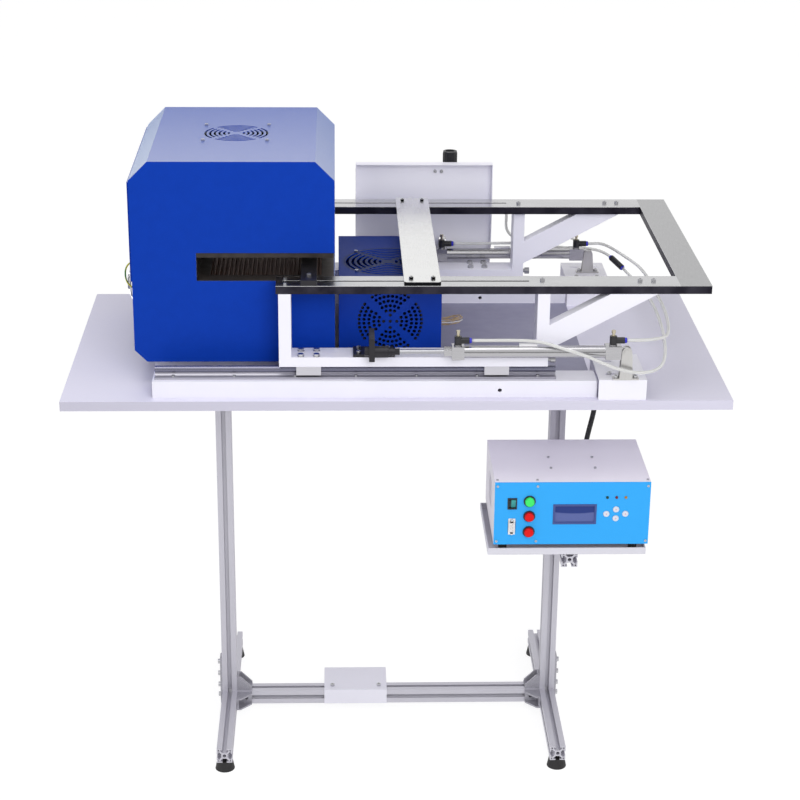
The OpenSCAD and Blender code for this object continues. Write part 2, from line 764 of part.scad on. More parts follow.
// Domed wire guard of the side fan: four rings on four bent straps
module fan_guard() {
    color("silver") seat() translate([oven_x0, side_fan_y, side_fan_z]) rotate([0, -90, 0]) {
        for (i = [0:3]) rotate_extrude($fn = 36) translate([14 + i * 14, 28 - i * 6])
            circle(d = 2.6, $fn = 8);
        for (a = [45:90:315]) rotate(a) translate([0, 1, 0]) rotate([90, 0, 0]) linear_extrude(2)
            polygon([[12, 29.3], [15, 29.3], [57, 11.3], [62, 10], [62, 0], [59, 0], [59, 8.6],
                [56, 9.8], [14.4, 27.6], [12, 27.6]]);
    }
}

// Blue fan box: perforated front, arc grille on top, open right side for the leads
module fan_box() {
    color("royalblue") seat() difference() {
        span([fb_x0, -fb_y, oven_z], [fb_x1, fb_y, fb_top]);
        span([fb_x0 + sheet, -fb_y + sheet, oven_z + sheet], [fb_x1 - sheet, fb_y - sheet,
            fb_top - sheet]);
        translate([fb_mx, -fb_y - 1, oven_z + fb_h / 2]) rotate([-90, 0, 0]) {
            cylinder(d = dot_d, h = sheet + 2, $fn = 16);
            for (q = [0:90:270], i = [0:len(dot_n) - 1], k = [0:dot_n[i] - 1]) {
                r = 3 + dot_p * (i + 1);
                rotate(q + (k - (dot_n[i] - 1) / 2) * dot_s / r * 180 / PI) translate([r, 0, 0])
                    cylinder(d = dot_d, h = sheet + 2, $fn = 16);
            }
        }
        translate([fb_mx, 0, fb_top - sheet - 1]) linear_extrude(sheet + 2)
            arc_grille_2d(top_grille_r, 7);
        for (y = [-118, -96]) translate([fb_x1 - sheet - 1, y, oven_z + 42]) rotate([0, 90, 0])
            cylinder(d = lead_d + 2 * gap, h = sheet + 2, $fn = 24);
    }
}

// Folded sheet behind the machine that carries the air unit on its back
module rear_panel() {
    x1 = rp_x0 + rp_w;
    color("whitesmoke") seat() difference() {
        union() {
            span([rp_x0, rp_y - 1.5, top_z], [x1, rp_y, rp_top]);
            span([rp_x0, panel_y, rp_top - 1.5], [x1, rp_y, rp_top]);
            span([x1 - 1.5, panel_y, top_z + 90], [x1, rp_y, rp_top]);
            span([rp_x0, panel_y, top_z + 90], [rp_x0 + 1.5, rp_y, rp_top]);
            span([rp_x0, half_d - 14, top_z], [x1, rp_y, top_z + 1.5]);
        }
        for (x = panel_bolts) translate([rp_x0 + x, rp_y - 3, rp_top - 18]) rotate([-90, 0, 0])
            cylinder(d = 4.4, h = 5, $fn = 20);
        for (x = foot_bolts) translate([rp_x0 + x, half_d - 6, top_z - 1])
            cylinder(d = 4.4, h = 4, $fn = 20);
        translate([grommet_x, rp_y - 3, fit_z + fit_r]) rotate([-90, 0, 0]) cylinder(d = 14, h = 5, $fn = 28);
    }
}

// Air unit behind the panel: regulator with its bonnet and bowl, and the two-way valve beside it
module regulator() {
    y = rp_y + 1;
    z = rp_top - reg_drop;
    color("dimgray") seat() {
        difference() {
            union() {
                span([reg_x - 20, rp_y, z], [reg_x + 20, y + reg_a - 1, z + 34]);
                translate([reg_x, y + 19, z - 44]) cylinder(d = 30, h = 44, $fn = 36);
            }
            translate([reg_x - 21, y + 19, z + 16]) rotate([0, 90, 0]) cylinder(d = 9, h = 12, $fn = 24);
        }
        translate([reg_x, y + 19, z + 34]) difference() {
            cylinder(d = 22, h = 10, $fn = 36);
            translate([0, 0, 3]) cylinder(d = 8, h = 8, $fn = 24);
        }
        translate([reg_x, y + 19, z + 37]) cylinder(d = 6, h = 14, $fn = 24);
        span([reg_x + 24, rp_y, z - 66], [reg_x + 52, rp_y + 26, z - 14]);
        span([reg_x + 26, rp_y, z - 14], [reg_x + 50, rp_y + 24, z + 16]);
        translate([reg_x + port_dx, rp_y + port_dy, z - 74]) cylinder(d = 11, h = 8, $fn = 24);
        translate([reg_x + 52, rp_y + port_dy, z - 41]) rotate([0, 90, 0]) cylinder(d = 11, h = 8, $fn = 24);
    }
}

module regulator_knob() {
    color("black") seat() translate([reg_x, rp_y + 20, rp_top - 8 + gap]) difference() {
        union() {
            cylinder(d = knob_d, h = knob_h, $fn = 40);
            for (a = [0:20:340]) rotate(a) translate([knob_d / 2 - 0.2, 0, 3])
                cylinder(d = 1.8, h = knob_h - 6, $fn = 12);
        }
        translate([0, 0, -1]) cylinder(d = 22.1, h = 7, $fn = 36);
        translate([0, 0, -1]) cylinder(d = 6.1, h = 16, $fn = 24);
        translate([0, 0, knob_h - 2]) cylinder(d = 18, h = 3, $fn = 32);
    }
}

// Air cylinders: hollow tube with its sensor, front cap with port boss and nose nut, rear cap with lug
module cylinders() {
    color("silver") seat() both_sides() translate([0, -cyl_y, cyl_z]) {
        translate([cyl_x0, 0, 0]) rotate([0, 90, 0]) difference() {
            cylinder(d = cyl_d, h = cyl_l, $fn = 44);
            translate([0, 0, -1]) cylinder(d = cyl_d - 3, h = cyl_l + 2, $fn = 44);
        }
        difference() {
            span([sens_x0, -4, cyl_d / 2 - 2], [sens_x0 + sens_l, 4, cyl_d / 2 + 4]);
            translate([sens_x0 - 1, 0, 0]) rotate([0, 90, 0]) cylinder(d = cyl_d + 0.1, h = sens_l + 2, $fn = 44);
        }
        difference() {
            union() {
                span([cyl_x0 - cap_f, -cyl_d / 2, -cap_h / 2], [cyl_x0, cyl_d / 2, cap_h / 2]);
                translate([port_x[0], 0, 0]) cylinder(d = 14, h = fit_z - cyl_z, $fn = 28);
                translate([cyl_x0 - cap_f - 14, 0, 0]) rotate([0, 90, 0]) cylinder(d = 20, h = 14, $fn = 6);
            }
            translate([cyl_x0 - cap_f - 15, 0, 0]) rotate([0, 90, 0])
                cylinder(d = rod_d + 0.1, h = cap_f + 16, $fn = 32);
        }
        difference() {
            union() {
                span([cyl_x1, -cyl_d / 2, -cap_h / 2], [cyl_x1 + cap_r, cyl_d / 2, cap_h / 2]);
                translate([port_x[1], 0, 0]) cylinder(d = 14, h = fit_z - cyl_z, $fn = 28);
                translate([pin_x, lug_t / 2, 0]) rotate([90, 0, 0]) linear_extrude(lug_t) union() {
                    circle(r = 8, $fn = 32);
                    translate([cyl_x1 + cap_r - 1 - pin_x, -8]) square([pin_x - cyl_x1 - cap_r + 1, 16]);
                }
            }
            translate([pin_x, 0, 0]) rotate([90, 0, 0])
                cylinder(d = 6.1, h = lug_t + 2, center = true, $fn = 24);
        }
    }
}

// Folded bracket blocks that carry the clevises, with slotted holes; the back one is taller
module clevis_blocks() {
    color("white") seat() for (i = [0, 1]) mirror([0, i, 0]) translate([cb_x0, -cb_y[i], top_z])
        difference() {
            cube([cb_w, cb_d, cb_top[i] - top_z]);
            translate([-1, 3, -1]) cube([cb_w + 2, cb_d - 6, cb_top[i] - top_z - 2]);
            for (x = [24, cb_w - 22], y = [30, 96]) translate([x - 7, y, cb_top[i] - top_z - 4]) {
                translate([0, -3, 0]) cube([14, 6, 6]);
                for (e = [0, 14]) translate([e, 0, 0]) cylinder(d = 6, h = 6, $fn = 20);
            }
        }
}

// Tapered fork ears on their foot plate and the pin that holds the lug
module clevises() {
    yi = lug_t / 2 + 0.2;
    color("gainsboro") seat() for (i = [0, 1]) translate([pin_x, (i * 2 - 1) * cyl_y, 0]) {
        z = cb_top[i];
        span([-foot_w / 2, -yi - ear_t, z], [foot_w / 2, yi + ear_t, z + foot_t]);
        for (s = [-1, 1]) translate([0, s * (yi + ear_t / 2) + ear_t / 2, 0]) rotate([90, 0, 0])
            linear_extrude(ear_t) union() {
                polygon([[-12, z + foot_t], [12, z + foot_t], [9, cyl_z], [-9, cyl_z]]);
                translate([0, cyl_z]) circle(r = 9, $fn = 32);
            }
        translate([0, 0, cyl_z]) rotate([90, 0, 0]) {
            cylinder(d = 6, h = 2 * yi + 1, center = true, $fn = 24);
            translate([0, 0, yi + ear_t]) cylinder(d = 12, h = 1.2, $fn = 28);
            translate([0, 0, -yi - ear_t - 1.2]) cylinder(d = 12, h = 1.2, $fn = 28);
        }
    }
}

// Speed-control fittings: upright body, hose outlet with collet, a second outlet at the back pair,
// and the straight union that sits on the long hose
module air_fittings() {
    d = union_b - union_a;
    color("dimgray") seat() {
        translate((union_a + union_b) / 2) rotate([0, acos(d[2] / norm(d)), atan2(d[1], d[0])])
            difference() {
                cylinder(d = 12, h = union_l, center = true, $fn = 32);
                cylinder(d = hose_d + 0.6, h = union_l + 2, center = true, $fn = 28);
            }
        for (s = [-1, 1], x = port_x) translate([x, s * cyl_y, fit_z]) difference() {
            union() {
                cylinder(d = 13, h = body_h, $fn = 28);
                translate([0, 0, fit_r]) rotate([0, 90, 0]) {
                    cylinder(d = 11.5, h = out_l - 4, $fn = 28);
                    translate([0, 0, out_l - 4]) cylinder(d = 9.5, h = 4, $fn = 28);
                }
                if (s > 0) translate([0, 0, fit_r]) rotate([-90, 0, 0]) {
                    cylinder(d = 10.5, h = 10, $fn = 28);
                    cylinder(d = 9, h = 13, $fn = 28);
                }
            }
            translate([0, 0, body_h - 8]) cylinder(d = 4.1, h = 9, $fn = 20);
        }
    }
}

// Needle screw with its knurled head
module needle(x, s) {
    color("khaki") seat() translate([x, s * cyl_y, fit_z + body_h + gap]) {
        cylinder(d = 7, h = 1.5, $fn = 24);
        translate([0, 0, 1.5]) cylinder(d = 5, h = 4, $fn = 24);
        translate([0, 0, 5.5]) cylinder(d = 7.5, h = 5, $fn = 14);
        translate([0, 0, -7]) cylinder(d = 4, h = 8, $fn = 20);
    }
}

module needle_fa() needle(port_x[0], -1);
module needle_fb() needle(port_x[1], -1);
module needle_ra() needle(port_x[0], 1);
module needle_rb() needle(port_x[1], 1);

function unit(v) = v / norm(v);
function dir_at(p, i) = unit(p[min(i + 1, len(p) - 1)] - p[max(i - 1, 0)]);
function side_of(d) = unit(cross(d, abs(d[2]) > 0.9 ? [1, 0, 0] : [0, 0, 1]));
// The side direction at point i, carried along the route without a twist
function carried(p, i) = i == 0 ? side_of(dir_at(p, 0))
    : let (d = dir_at(p, i), u = carried(p, i - 1)) unit(u - (u * d) * d);

// Round tube of n sides swept along the points p
module tube(p, d, n) {
    rings = [for (i = [0:len(p) - 1]) let (t = dir_at(p, i), u = carried(p, i), v = cross(u, t))
        for (k = [0:n - 1]) p[i] + d / 2 * (cos(360 * k / n) * u + sin(360 * k / n) * v)];
    m = len(p) - 1;
    polyhedron(rings, concat([[for (k = [0:n - 1]) k]], [[for (k = [n - 1:-1:0]) m * n + k]],
        [for (i = [0:m - 1], k = [0:n - 1]) [i * n + k, (i + 1) * n + k, (i + 1) * n + (k + 1) % n]],
        [for (i = [0:m - 1], k = [0:n - 1]) [i * n + k, (i + 1) * n + (k + 1) % n,
            i * n + (k + 1) % n]]));
}

// Hose and wire routes, from fitting to fitting
module hose_front() {
    color("lightgray") seat() tube(route_front, hose_d, 8);
}

module hose_cross() {
    color("lightgray") seat() tube(route_cross, hose_d, 8);
}

module hose_rear() {
    color("lightgray") seat() tube(route_rear, hose_d, 8);
}

module hose_valve() {
    color("lightgray") seat() tube(route_valve, hose_d, 8);
}

module case_cable() {
    color("dimgray") seat() tube(route_case, 10, 10);
}

module earth_wire() {
    color("yellowgreen") seat() tube(route_earth, lead_d, 8);
}

module fan_lead() {
    color("tan") seat() tube(route_lead, lead_d, 8);
}

// Fasteners of the fixed parts
module screws() {
    color("lightgray") seat() {
        both_sides() for (i = [0:screw_n - 1], s = [-1, 1])
            translate([rail_x0 + 33 + i * screw_p, -rail_y + s * (rail_flange / 2 - 5),
                base_top + flange_t]) screw(3.4, 0);
        for (x = [17, pb_w - 16]) translate([pb_x0 + x, 0, foot_top + 2]) screw(5, 0);
        for (i = [0, 1], z = joint_holes)
            translate([leg_x[i] + (i * 2 - 1) * (prof / 2 + joint_t), 0, z])
                rotate([0, 90 * (i * 2 - 1), 0]) screw(6, 0);
        for (x = [case_x0 + 5, case_x0 + 78, case_x1 - 5], z = [case_z + 7, case_top - 7])
            translate([x, face_y, z]) rotate([90, 0, 0]) screw(2.6, 0);
        for (x = [case_x0 + 5, case_x0 + 78, case_x1 - 5]) translate([x, case_y + 8, case_top]) screw(2.6, 0);
        for (x = [case_x0 + 108, case_x0 + 190], y = [case_y + 62, case_y + 112])
            translate([x, y, case_top]) screw(3, 0);
        for (a = [45:90:315]) translate([oven_mx + 82 * cos(a), 82 * sin(a), oven_top]) screw(4, 0);
        for (a = [45:90:315]) translate([fb_mx + 85 * cos(a), 85 * sin(a), fb_top]) screw(4, 0);
        for (i = [0, 1], x = [-21, 21]) mirror([0, i, 0])
            translate([cb_x0 + cb_w / 2 + x, -cb_y[i] + 30 + 66 * i, cb_top[i]]) screw(5, 0);
        for (i = [0, 1], x = [-17, 17]) translate([pin_x + x, (i * 2 - 1) * cyl_y, cb_top[i] + foot_t])
            screw(5, 0);
        for (x = panel_bolts) translate([rp_x0 + x, rp_y - 1.5, rp_top - 18]) rotate([90, 0, 0])
            screw(4, 0);
        for (x = foot_bolts) translate([rp_x0 + x, half_d - 6, top_z + 1.5]) screw(4, 0);
        for (s = [-1, 1]) translate([oven_x0 - 3, s * (oven_y - 25), side_fan_z + 80])
            rotate([0, -90, 0]) screw(4, 0);
    }
}

// Outline of the sloping brace between an upright's foot and the ring, drawn in by d
module brace_2d(d) {
    z0 = beam_z + 32;
    top = ring_under - d;
    e = d * 1.15;
    polygon([[car_x1 + d, z0 + e + d * diag_k], [car_x1 + d, z0 + diag_b - e + d * diag_k],
        [car_x1 + (top - z0 - diag_b + e) / diag_k, top], [car_x1 + (top - z0 - e) / diag_k, top]]);
}

// Welded tube frame that carries the ring: beam, two uprights and the brace at depth b, all hollow
module carriage_frame(b) {
    w = 2;
    translate([0, -frame_y1, 0]) difference() {
        union() {
            span([car_x0, 0, beam_z], [car_x1, tube_d, beam_z + beam_h]);
            for (x = [car_x0, car_x1 - tube_w]) span([x, 0, beam_z + beam_h], [x + tube_w, tube_d,
                ring_under]);
            translate([0, b + brace_w, 0]) rotate([90, 0, 0]) linear_extrude(brace_w) brace_2d(0);
        }
        span([car_x0 + w, w, beam_z + w], [car_x1 - w, tube_d - w, beam_z + beam_h - w]);
        for (x = [car_x0, car_x1 - tube_w]) span([x + w, w, beam_z + beam_h + w],
            [x + tube_w - w, tube_d - w, ring_under - w]);
        translate([0, b + brace_w - w, 0]) rotate([90, 0, 0]) linear_extrude(brace_w - 2 * w) brace_2d(w);
    }
}

module frame_front() {
    color("white") seat() carriage_frame(0);
}

module frame_rear() {
    color("white") seat() mirror([0, 1, 0]) carriage_frame(tube_d - brace_w);
}

// Polished ring, open at its left end: two long bars with a groove and the end bar
module ring_frame() {
    color("silver") seat() difference() {
        translate([0, 0, ring_under]) linear_extrude(ring_t) difference() {
            translate([ring_x0, -ring_y1]) square([ring_x1 - ring_x0, 2 * ring_y1]);
            translate([ring_x0 - 1, -ring_y0]) square([ring_x1 - ring_x0 - ring_w + 1, 2 * ring_y0]);
            for (s = [-1, 1]) translate([ring_x0 + 12, s * groove_y - groove_w / 2])
                square([groove_x1 - ring_x0 - 12, groove_w]);
        }
        for (s = [-1, 1], x = [ring_x1 - ring_w - 68, ring_x1 - ring_w - 44]) translate([x, s * groove_y,
            ring_under - 1]) cylinder(d = 6.5, h = ring_t + 2, $fn = 24);
    }
}

// Fixed cross bar at the ring's open end, standing on both long bars
module cross_bar() {
    color("dimgray") seat() difference() {
        span([bar_x - bar_w / 2, -ring_y1, ring_top], [bar_x + bar_w / 2, ring_y1, ring_top + bar_t]);
        for (y = [-groove_y, -113, 0, 113, groove_y]) translate([bar_x, y, ring_top - 1])
            cylinder(d = 5.5, h = bar_t + 2, $fn = 24);
    }
}

// Open bearing blocks: body with its bore, cut open below to pass the rail's web
module slide_blocks() {
    w = block_w / 2;
    h = beam_z - base_top;
    color("gray") seat() both_sides() for (x = block_x) translate([x - block_l / 2, -rail_y, base_top])
        rotate([90, 0, 90]) linear_extrude(block_l) difference() {
            polygon([[-w, h], [w, h], [w, 9], [w - 4, 7.6], [-w + 4, 7.6], [-w, 9]]);
            translate([0, shaft_h]) circle(d = shaft_d + 0.1, $fn = 44);
            translate([-web_w / 2 - 2, 0]) square([web_w + 4, shaft_h]);
        }
}

module piston_rods() {
    x1 = cyl_x1 - 24;
    color("gainsboro") seat() both_sides() translate([0, -cyl_y, cyl_z]) rotate([0, 90, 0]) {
        translate([0, 0, rod_x0]) cylinder(d = rod_d, h = x1 - rod_x0, $fn = 32);
        translate([0, 0, x1 - piston_l]) cylinder(d = cyl_d - 3 - 0.1, h = piston_l, $fn = 44);
    }
}

// Black bracket on the beam with its floating joint, and the stop at the beam's right end
module rod_joints() {
    z = beam_z + beam_h;
    color("dimgray") seat() both_sides() {
        difference() {
            union() {
                span([-80, -frame_y1, z], [-6, -frame_y1 + 44, z + 5]);
                span([-52, -cyl_y - 12, z + 5], [-42, -frame_y1 + 34, cyl_z + 28]);
                span([-52, -cyl_y - 12, z], [-42, -frame_y1, z + 5]);
            }
            for (x = [-70, -18], y = [10, 34]) translate([x, -frame_y1 + y, z - 1])
                cylinder(d = 5.4, h = 8, $fn = 20);
        }
        translate([0, -cyl_y, cyl_z]) rotate([0, 90, 0]) {
            translate([0, 0, -60]) cylinder(d = 17, h = 8, $fn = 6);
            translate([0, 0, -42]) cylinder(d = 21, h = 24, $fn = 36);
            translate([0, 0, -18]) cylinder(d = 15, h = 12, $fn = 30);
            translate([0, 0, -6]) cylinder(d = 13, h = rod_x0 + 6, $fn = 6);
        }
        translate([car_x1, -rail_y, beam_z + 7]) rotate([0, 90, 0]) {
            cylinder(d = 8, h = 6, $fn = 24);
            translate([0, 0, 6]) cylinder(d = 13, h = 9, $fn = 28);
        }
    }
}

// Fasteners of the carriage: block bolts, bracket bolts, ring and bar screws
module carriage_screws() {
    z = beam_z + beam_h;
    color("lightgray") seat() {
        both_sides() {
            for (b = block_x, x = [-14, 14], y = [-14, 14]) translate([b + x, -rail_y + y, z]) hex_head(6);
            for (x = [-70, -18], y = [10, 34]) translate([x, -frame_y1 + y, z + 5]) screw(5, 0);
            for (y = [ring_y0 + 20, ring_y1 - 8]) translate([car_x0 + 12, -y, ring_top]) screw(4, 0);
            translate([car_x1 - 12, -groove_y + 4, ring_top]) screw(5, 0);
            for (x = [ring_x1 - ring_w - 68, ring_x1 - ring_w - 44]) translate([x, -groove_y, ring_top])
                screw(5, 0);
            translate([bar_x, -groove_y, ring_top + bar_t]) screw(5, 0);
        }
        for (y = [-113, 0, 113]) translate([bar_x, y, ring_top + bar_t]) screw(5, 0);
    }
}

// Sliding cross plate with its slotted holes and the screws that run in the ring's grooves
module cross_plate() {
    y1 = ring_y1 - 6;
    color("gainsboro") seat() {
        translate([plate_x, 0, ring_top]) linear_extrude(plate_t) difference() {
            polygon([[-plate_w / 2 + 4, -y1], [plate_w / 2 - 4, -y1], [plate_w / 2, -y1 + 4],
                [plate_w / 2, y1 - 4], [plate_w / 2 - 4, y1], [-plate_w / 2 + 4, y1],
                [-plate_w / 2, y1 - 4], [-plate_w / 2, -y1 + 4]]);
            for (x = [-plate_o, plate_o], s = [-1, 1]) translate([x, s * groove_y]) {
                translate([-3.2, -4]) square([6.4, 8]);
                for (e = [-4, 4]) translate([0, e]) circle(d = 6.4, $fn = 20);
            }
        }
        for (x = [-plate_o, plate_o], s = [-1, 1]) translate([plate_x + x, s * groove_y, ring_top + plate_t]) {
            screw(5, ring_t + plate_t + 5);
            translate([0, 0, -ring_t - plate_t - 4.3]) cylinder(d = 12, h = 4, $fn = 6);
        }
    }
}

// Push-button cap with its stem, in the ring nut's bore
module push_button(i) {
    translate([button_x, face_y - 8, button_z[i]]) rotate([-90, 0, 0]) {
        cylinder(d1 = button_d - 1.5, d2 = button_d, h = 1, $fn = 36);
        translate([0, 0, 1]) cylinder(d = button_d, h = 10, $fn = 36);
    }
}

module button_green() {
    color("limegreen") seat() push_button(0);
}

module button_red_a() {
    color("red") seat() push_button(1);
}

module button_red_b() {
    color("red") seat() push_button(2);
}

// Rocker cap: a shallow vee across its pivot pin
module rocker() {
    color("green") seat() translate([rocker_x, case_y + 2, rocker_z]) {
        translate([-6.2, 0, 0]) rotate([90, 0, 90]) linear_extrude(12.4) polygon([[-6, 7.4],
            [-4.6, 0], [-3.6, -7.4], [0, -7.4], [4, -3], [4, 3], [0, 7.4]]);
        translate([-8, 0, 0]) rotate([0, 90, 0]) cylinder(d = 2.9, h = 16, $fn = 24);
    }
}

// Menu key: round cap with a fine edge, in its sleeve
module menu_key(i) {
    translate([key_x + key_o[i][0], face_y - 1.5, key_z + key_o[i][1]]) rotate([-90, 0, 0]) {
        cylinder(d1 = key_d - 1, d2 = key_d, h = 0.6, $fn = 32);
        translate([0, 0, 0.6]) cylinder(d = key_d, h = 4, $fn = 32);
    }
}

module key_up() {
    color("white") seat() menu_key(0);
}

module key_left() {
    color("white") seat() menu_key(1);
}

module key_right() {
    color("white") seat() menu_key(2);
}

module key_down() {
    color("white") seat() menu_key(3);
}

tabletop();
uprights();
feet();
beams();
brackets();
rubber_feet();
sheet_brackets();
case_body();
case_panel();
case_trim();
display();
serial_port();
base();
rails();
oven_shell();
oven_cover();
oven_liner();
heaters();
fan_frames();
fan_guard();
fan_box();
rear_panel();
regulator();
cylinders();
clevis_blocks();
clevises();
air_fittings();
hose_front();
hose_cross();
hose_rear();
hose_valve();
case_cable();
earth_wire();
fan_lead();
screws();
frame_front();
frame_rear();
ring_frame();
cross_bar();
slide_blocks();
piston_rods();
rod_joints();
carriage_screws();
cross_plate();
button_green();
button_red_a();
button_red_b();
rocker();
key_up();
key_left();
key_right();
key_down();
regulator_knob();
needle_fa();
needle_fb();
needle_ra();
needle_rb();
fan_top();
fan_front();
fan_side();
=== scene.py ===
"""Heat shrink machine: finishes, hoses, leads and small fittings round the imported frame.

Metres, +X along the bench, +Y to its back, +Z up, the floor at z = 0.
"""

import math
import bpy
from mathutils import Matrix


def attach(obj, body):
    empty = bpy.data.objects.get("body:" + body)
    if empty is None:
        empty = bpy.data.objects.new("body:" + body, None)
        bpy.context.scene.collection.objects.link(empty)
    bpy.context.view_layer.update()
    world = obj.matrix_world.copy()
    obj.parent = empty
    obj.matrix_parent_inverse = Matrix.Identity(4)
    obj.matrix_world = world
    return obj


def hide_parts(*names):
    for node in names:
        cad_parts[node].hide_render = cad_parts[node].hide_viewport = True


bl_info = {
    "name": "Heat Shrink Machine",
    "version": (1, 0, 0),
    "blender": (4, 5, 0),
    "location": "3D View > Sidebar > Heat Shrink",
    "description": "Dresses a tunnel oven, its wire carriage, bench and control case",
    "category": "Object",
}

import bpy
import numpy as np
from mathutils import Matrix

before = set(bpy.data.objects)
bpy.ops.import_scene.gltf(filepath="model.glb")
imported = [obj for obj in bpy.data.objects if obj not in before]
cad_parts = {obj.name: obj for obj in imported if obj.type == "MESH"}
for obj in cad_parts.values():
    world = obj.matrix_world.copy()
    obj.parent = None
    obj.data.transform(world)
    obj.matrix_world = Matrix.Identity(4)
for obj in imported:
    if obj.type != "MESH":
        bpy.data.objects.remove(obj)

# ---------------------------------------------------------------- places

# Depth of the frame's origin behind the machine's own middle plane
MID = 0.0315

# Routes: millimetres, with y from the machine's middle plane
HOSES = {
    "hose_front": [
        [129, -290.5, 911], [170, -290.5, 911], [215, -291, 911], [250, -294, 909],
        [290, -303, 900], [330, -308, 888], [370, -310, 871], [410, -308, 858],
        [445, -296, 853], [470, -270, 853], [484, -230, 860], [490, -180, 872],
        [491, -110, 886], [487, 30, 890], [485, 160, 874], [482, 215, 867],
        [475, 253, 868], [449, 286, 886], [428, 301, 893], [400, 309, 895],
        [365, 307, 897], [285, 296, 909], [170, 290.5, 911], [129, 290.5, 911],
    ],
    "hose_cross": [
        [404, -290.5, 911], [426, -290.5, 911], [453, -280, 909], [476, -254, 904],
        [491, -210, 899], [498, -160, 899], [501, -100, 902], [499, -30, 906],
        [496, 40, 909], [491, 110, 910], [484, 170, 907], [473, 225, 903],
        [455, 270, 905], [428, 290.5, 911], [404, 290.5, 911],
    ],
    "hose_rear": [
        [105, 303.5, 911], [105, 312, 911], [109, 326, 911], [119, 336, 911], [133, 340, 911],
        [147, 340, 915], [157, 340, 925], [161, 340, 939], [161, 340, 952],
    ],
    "hose_valve": [
        [380, 303.5, 911], [380, 312, 911], [376, 326, 911], [366, 336, 911], [352, 340, 911],
        [310, 340, 909], [268, 340, 908], [254, 340, 912], [244, 340, 922], [240, 340, 936],
        [240, 340, 957], [236, 340, 971], [226, 340, 981], [212, 340, 985], [182, 340, 985],
    ],
}
CASE_CABLE = [
    [370, -76, 588], [370, -64, 588], [374, -34, 597], [382, -14, 622], [390, -8, 656],
    [395, 0, 688], [395, 24, 716], [391, 64, 726], [380, 128, 724], [356, 190, 724],
    [324, 244, 724], [303, 284, 724], [300, 320, 727], [300, 344, 747], [300, 349, 780],
    [300, 336, 804], [300, 310, 816], [300, 292, 816],
]
EARTH_WIRE = [
    [-476, -90, 992], [-484, -90, 992], [-493, -90, 985], [-497, -90, 969], [-493, -90, 952],
    [-484, -90, 944], [-473, -90, 944],
]
FAN_LEAD = [
    [80, -118, 883], [94, -118, 883], [108, -118, 886], [116, -115, 888], [120, -107, 889],
    [116, -99, 888], [108, -96, 886], [94, -96, 883], [80, -96, 883],
]

# Fittings, in millimetres: x of each cylinder's two ports, their distance from the middle
# plane, the height of the hose outlets, and how far the outlets' mouths stand to the right of
# the ports, or to their back
PORTS_X = (105, 380)
PORT_Y = 290.5
OUTLET_Z = 911
MOUTH_RIGHT = 20
MOUTH_BACK = 10
# The front hose's union: the two route points that it lies between, and half its length in metres
UNION = slice(16, 18)
UNION_REACH = 0.017

# Release rings, as (distance along, radius) pairs in millimetres
LARGE_COLLET = [
    (0, 4.82), (0.2, 5.0), (2.6, 5.05), (3.6, 4.9), (4.2, 4.4), (4.2, 3.7), (3.4, 3.15), (0, 3.12),
]
SMALL_COLLET = [(0, 4.55), (2.2, 4.7), (2.9, 4.4), (3.1, 3.6), (2.6, 3.15), (0, 3.12)]

# Points that a course gets for each of its chords, and sides that each tube or ring gets
HOSE_STEPS, LEAD_STEPS = 6, 8
HOSE_SIDES, LEAD_SIDES, STRAND_SIDES, COLLET_SIDES = 20, 16, 10, 40

# Patterns: turns of the fan lead over its whole length; turns to a metre and width, as a share
# of a turn, of the earth wire's stripe; waves of the braid to a metre and round a strand; waves
# of the heaters' grid to a metre
LEAD_TWIST = 0.6
STRIPE_TURNS, STRIPE_WIDTH = 18, 0.36
BRAID_ALONG, BRAID_AROUND = 900, 6
GRID_WAVES = 420

# Places in metres where one solid changes its finish or where painted shade or a painted reflection
# starts; pairs are the lowest and the highest.
# The edge of the window's painted reflection rises by its bend times the square of the distance
# from its middle.
TABLE_EDGE_Z = (0.7825, 0.7995)
TRAY_Z = 0.4
CASE_FACE_Y = -0.29
KEY_FIELD_X, KEY_FIELD_Z = (0.375, 0.427), (0.555, 0.593)
DISPLAY_X, DISPLAY_Z = (0.283, 0.368), (0.55, 0.60)
DISPLAY_MIDDLE_X, ARC_BEND, ARC_Z = 0.3255, 1.8, (0.5735, 0.5755)
LAMP_EDGES_X = (0.375, 0.3925, 0.4095)
SERIAL_X, SERIAL_Z = 0.2105, 0.5495
STRIP_HALF_WIDTH, STRIP_REACH = 0.0032, (0.0095, 0.0125)
ROCKER_SHADE_X, ROCKER_LIT_Z = 0.2085, (0.588, 0.602)
KEY_CENTRES = [(0.401, 0.583), (0.3835, 0.574), (0.4185, 0.574), (0.401, 0.565)]
KEY_DOT_RADIUS = 0.0016
DECK_Z, DECK_Y = 0.8045, (-0.26, 0.20)
RING_TOP_Z, RING_END_X = 1.0072, 0.4965
ROD_STOP_X = (0.264, 0.265)
SHAFT_Z = 0.8405
SENSOR_X, SENSOR_Z = (0.2125, 0.2455), 0.9018
GRILLE_X = -11.5

# Camera: where it stands in millimetres, its sensor's width in millimetres, its reach in metres
CAMERA_SPOT = (-109.80, -3567.45, 2095.62)
SENSOR_WIDTH = 36
CAMERA_REACH = 60
# Half the floor's side, how brightly it glows, and the share of the glow
FLOOR_HALF = 9.0
FLOOR_GLOW, FLOOR_SHARE = 1.2, 0.72
# Square lamps: where each stands, where it aims, its side, and whether gloss sees it
LAMPS = {
    "key": ((-0.5, -0.9, 3.6), (0, 0, 0.9), 2.6, True),
    "fill": ((0.9, -4.0, 2.9), (0, 0, 0.7), 2.2, False),
}


def route(rows):
    """Points in the machine's millimetres as an array in the frame's metres."""
    return np.array(rows, float) / 1000 - np.array([0, MID, 0])


def at(x, y, z):
    """One point in the machine's millimetres, in the frame's metres."""
    return route([x, y, z])


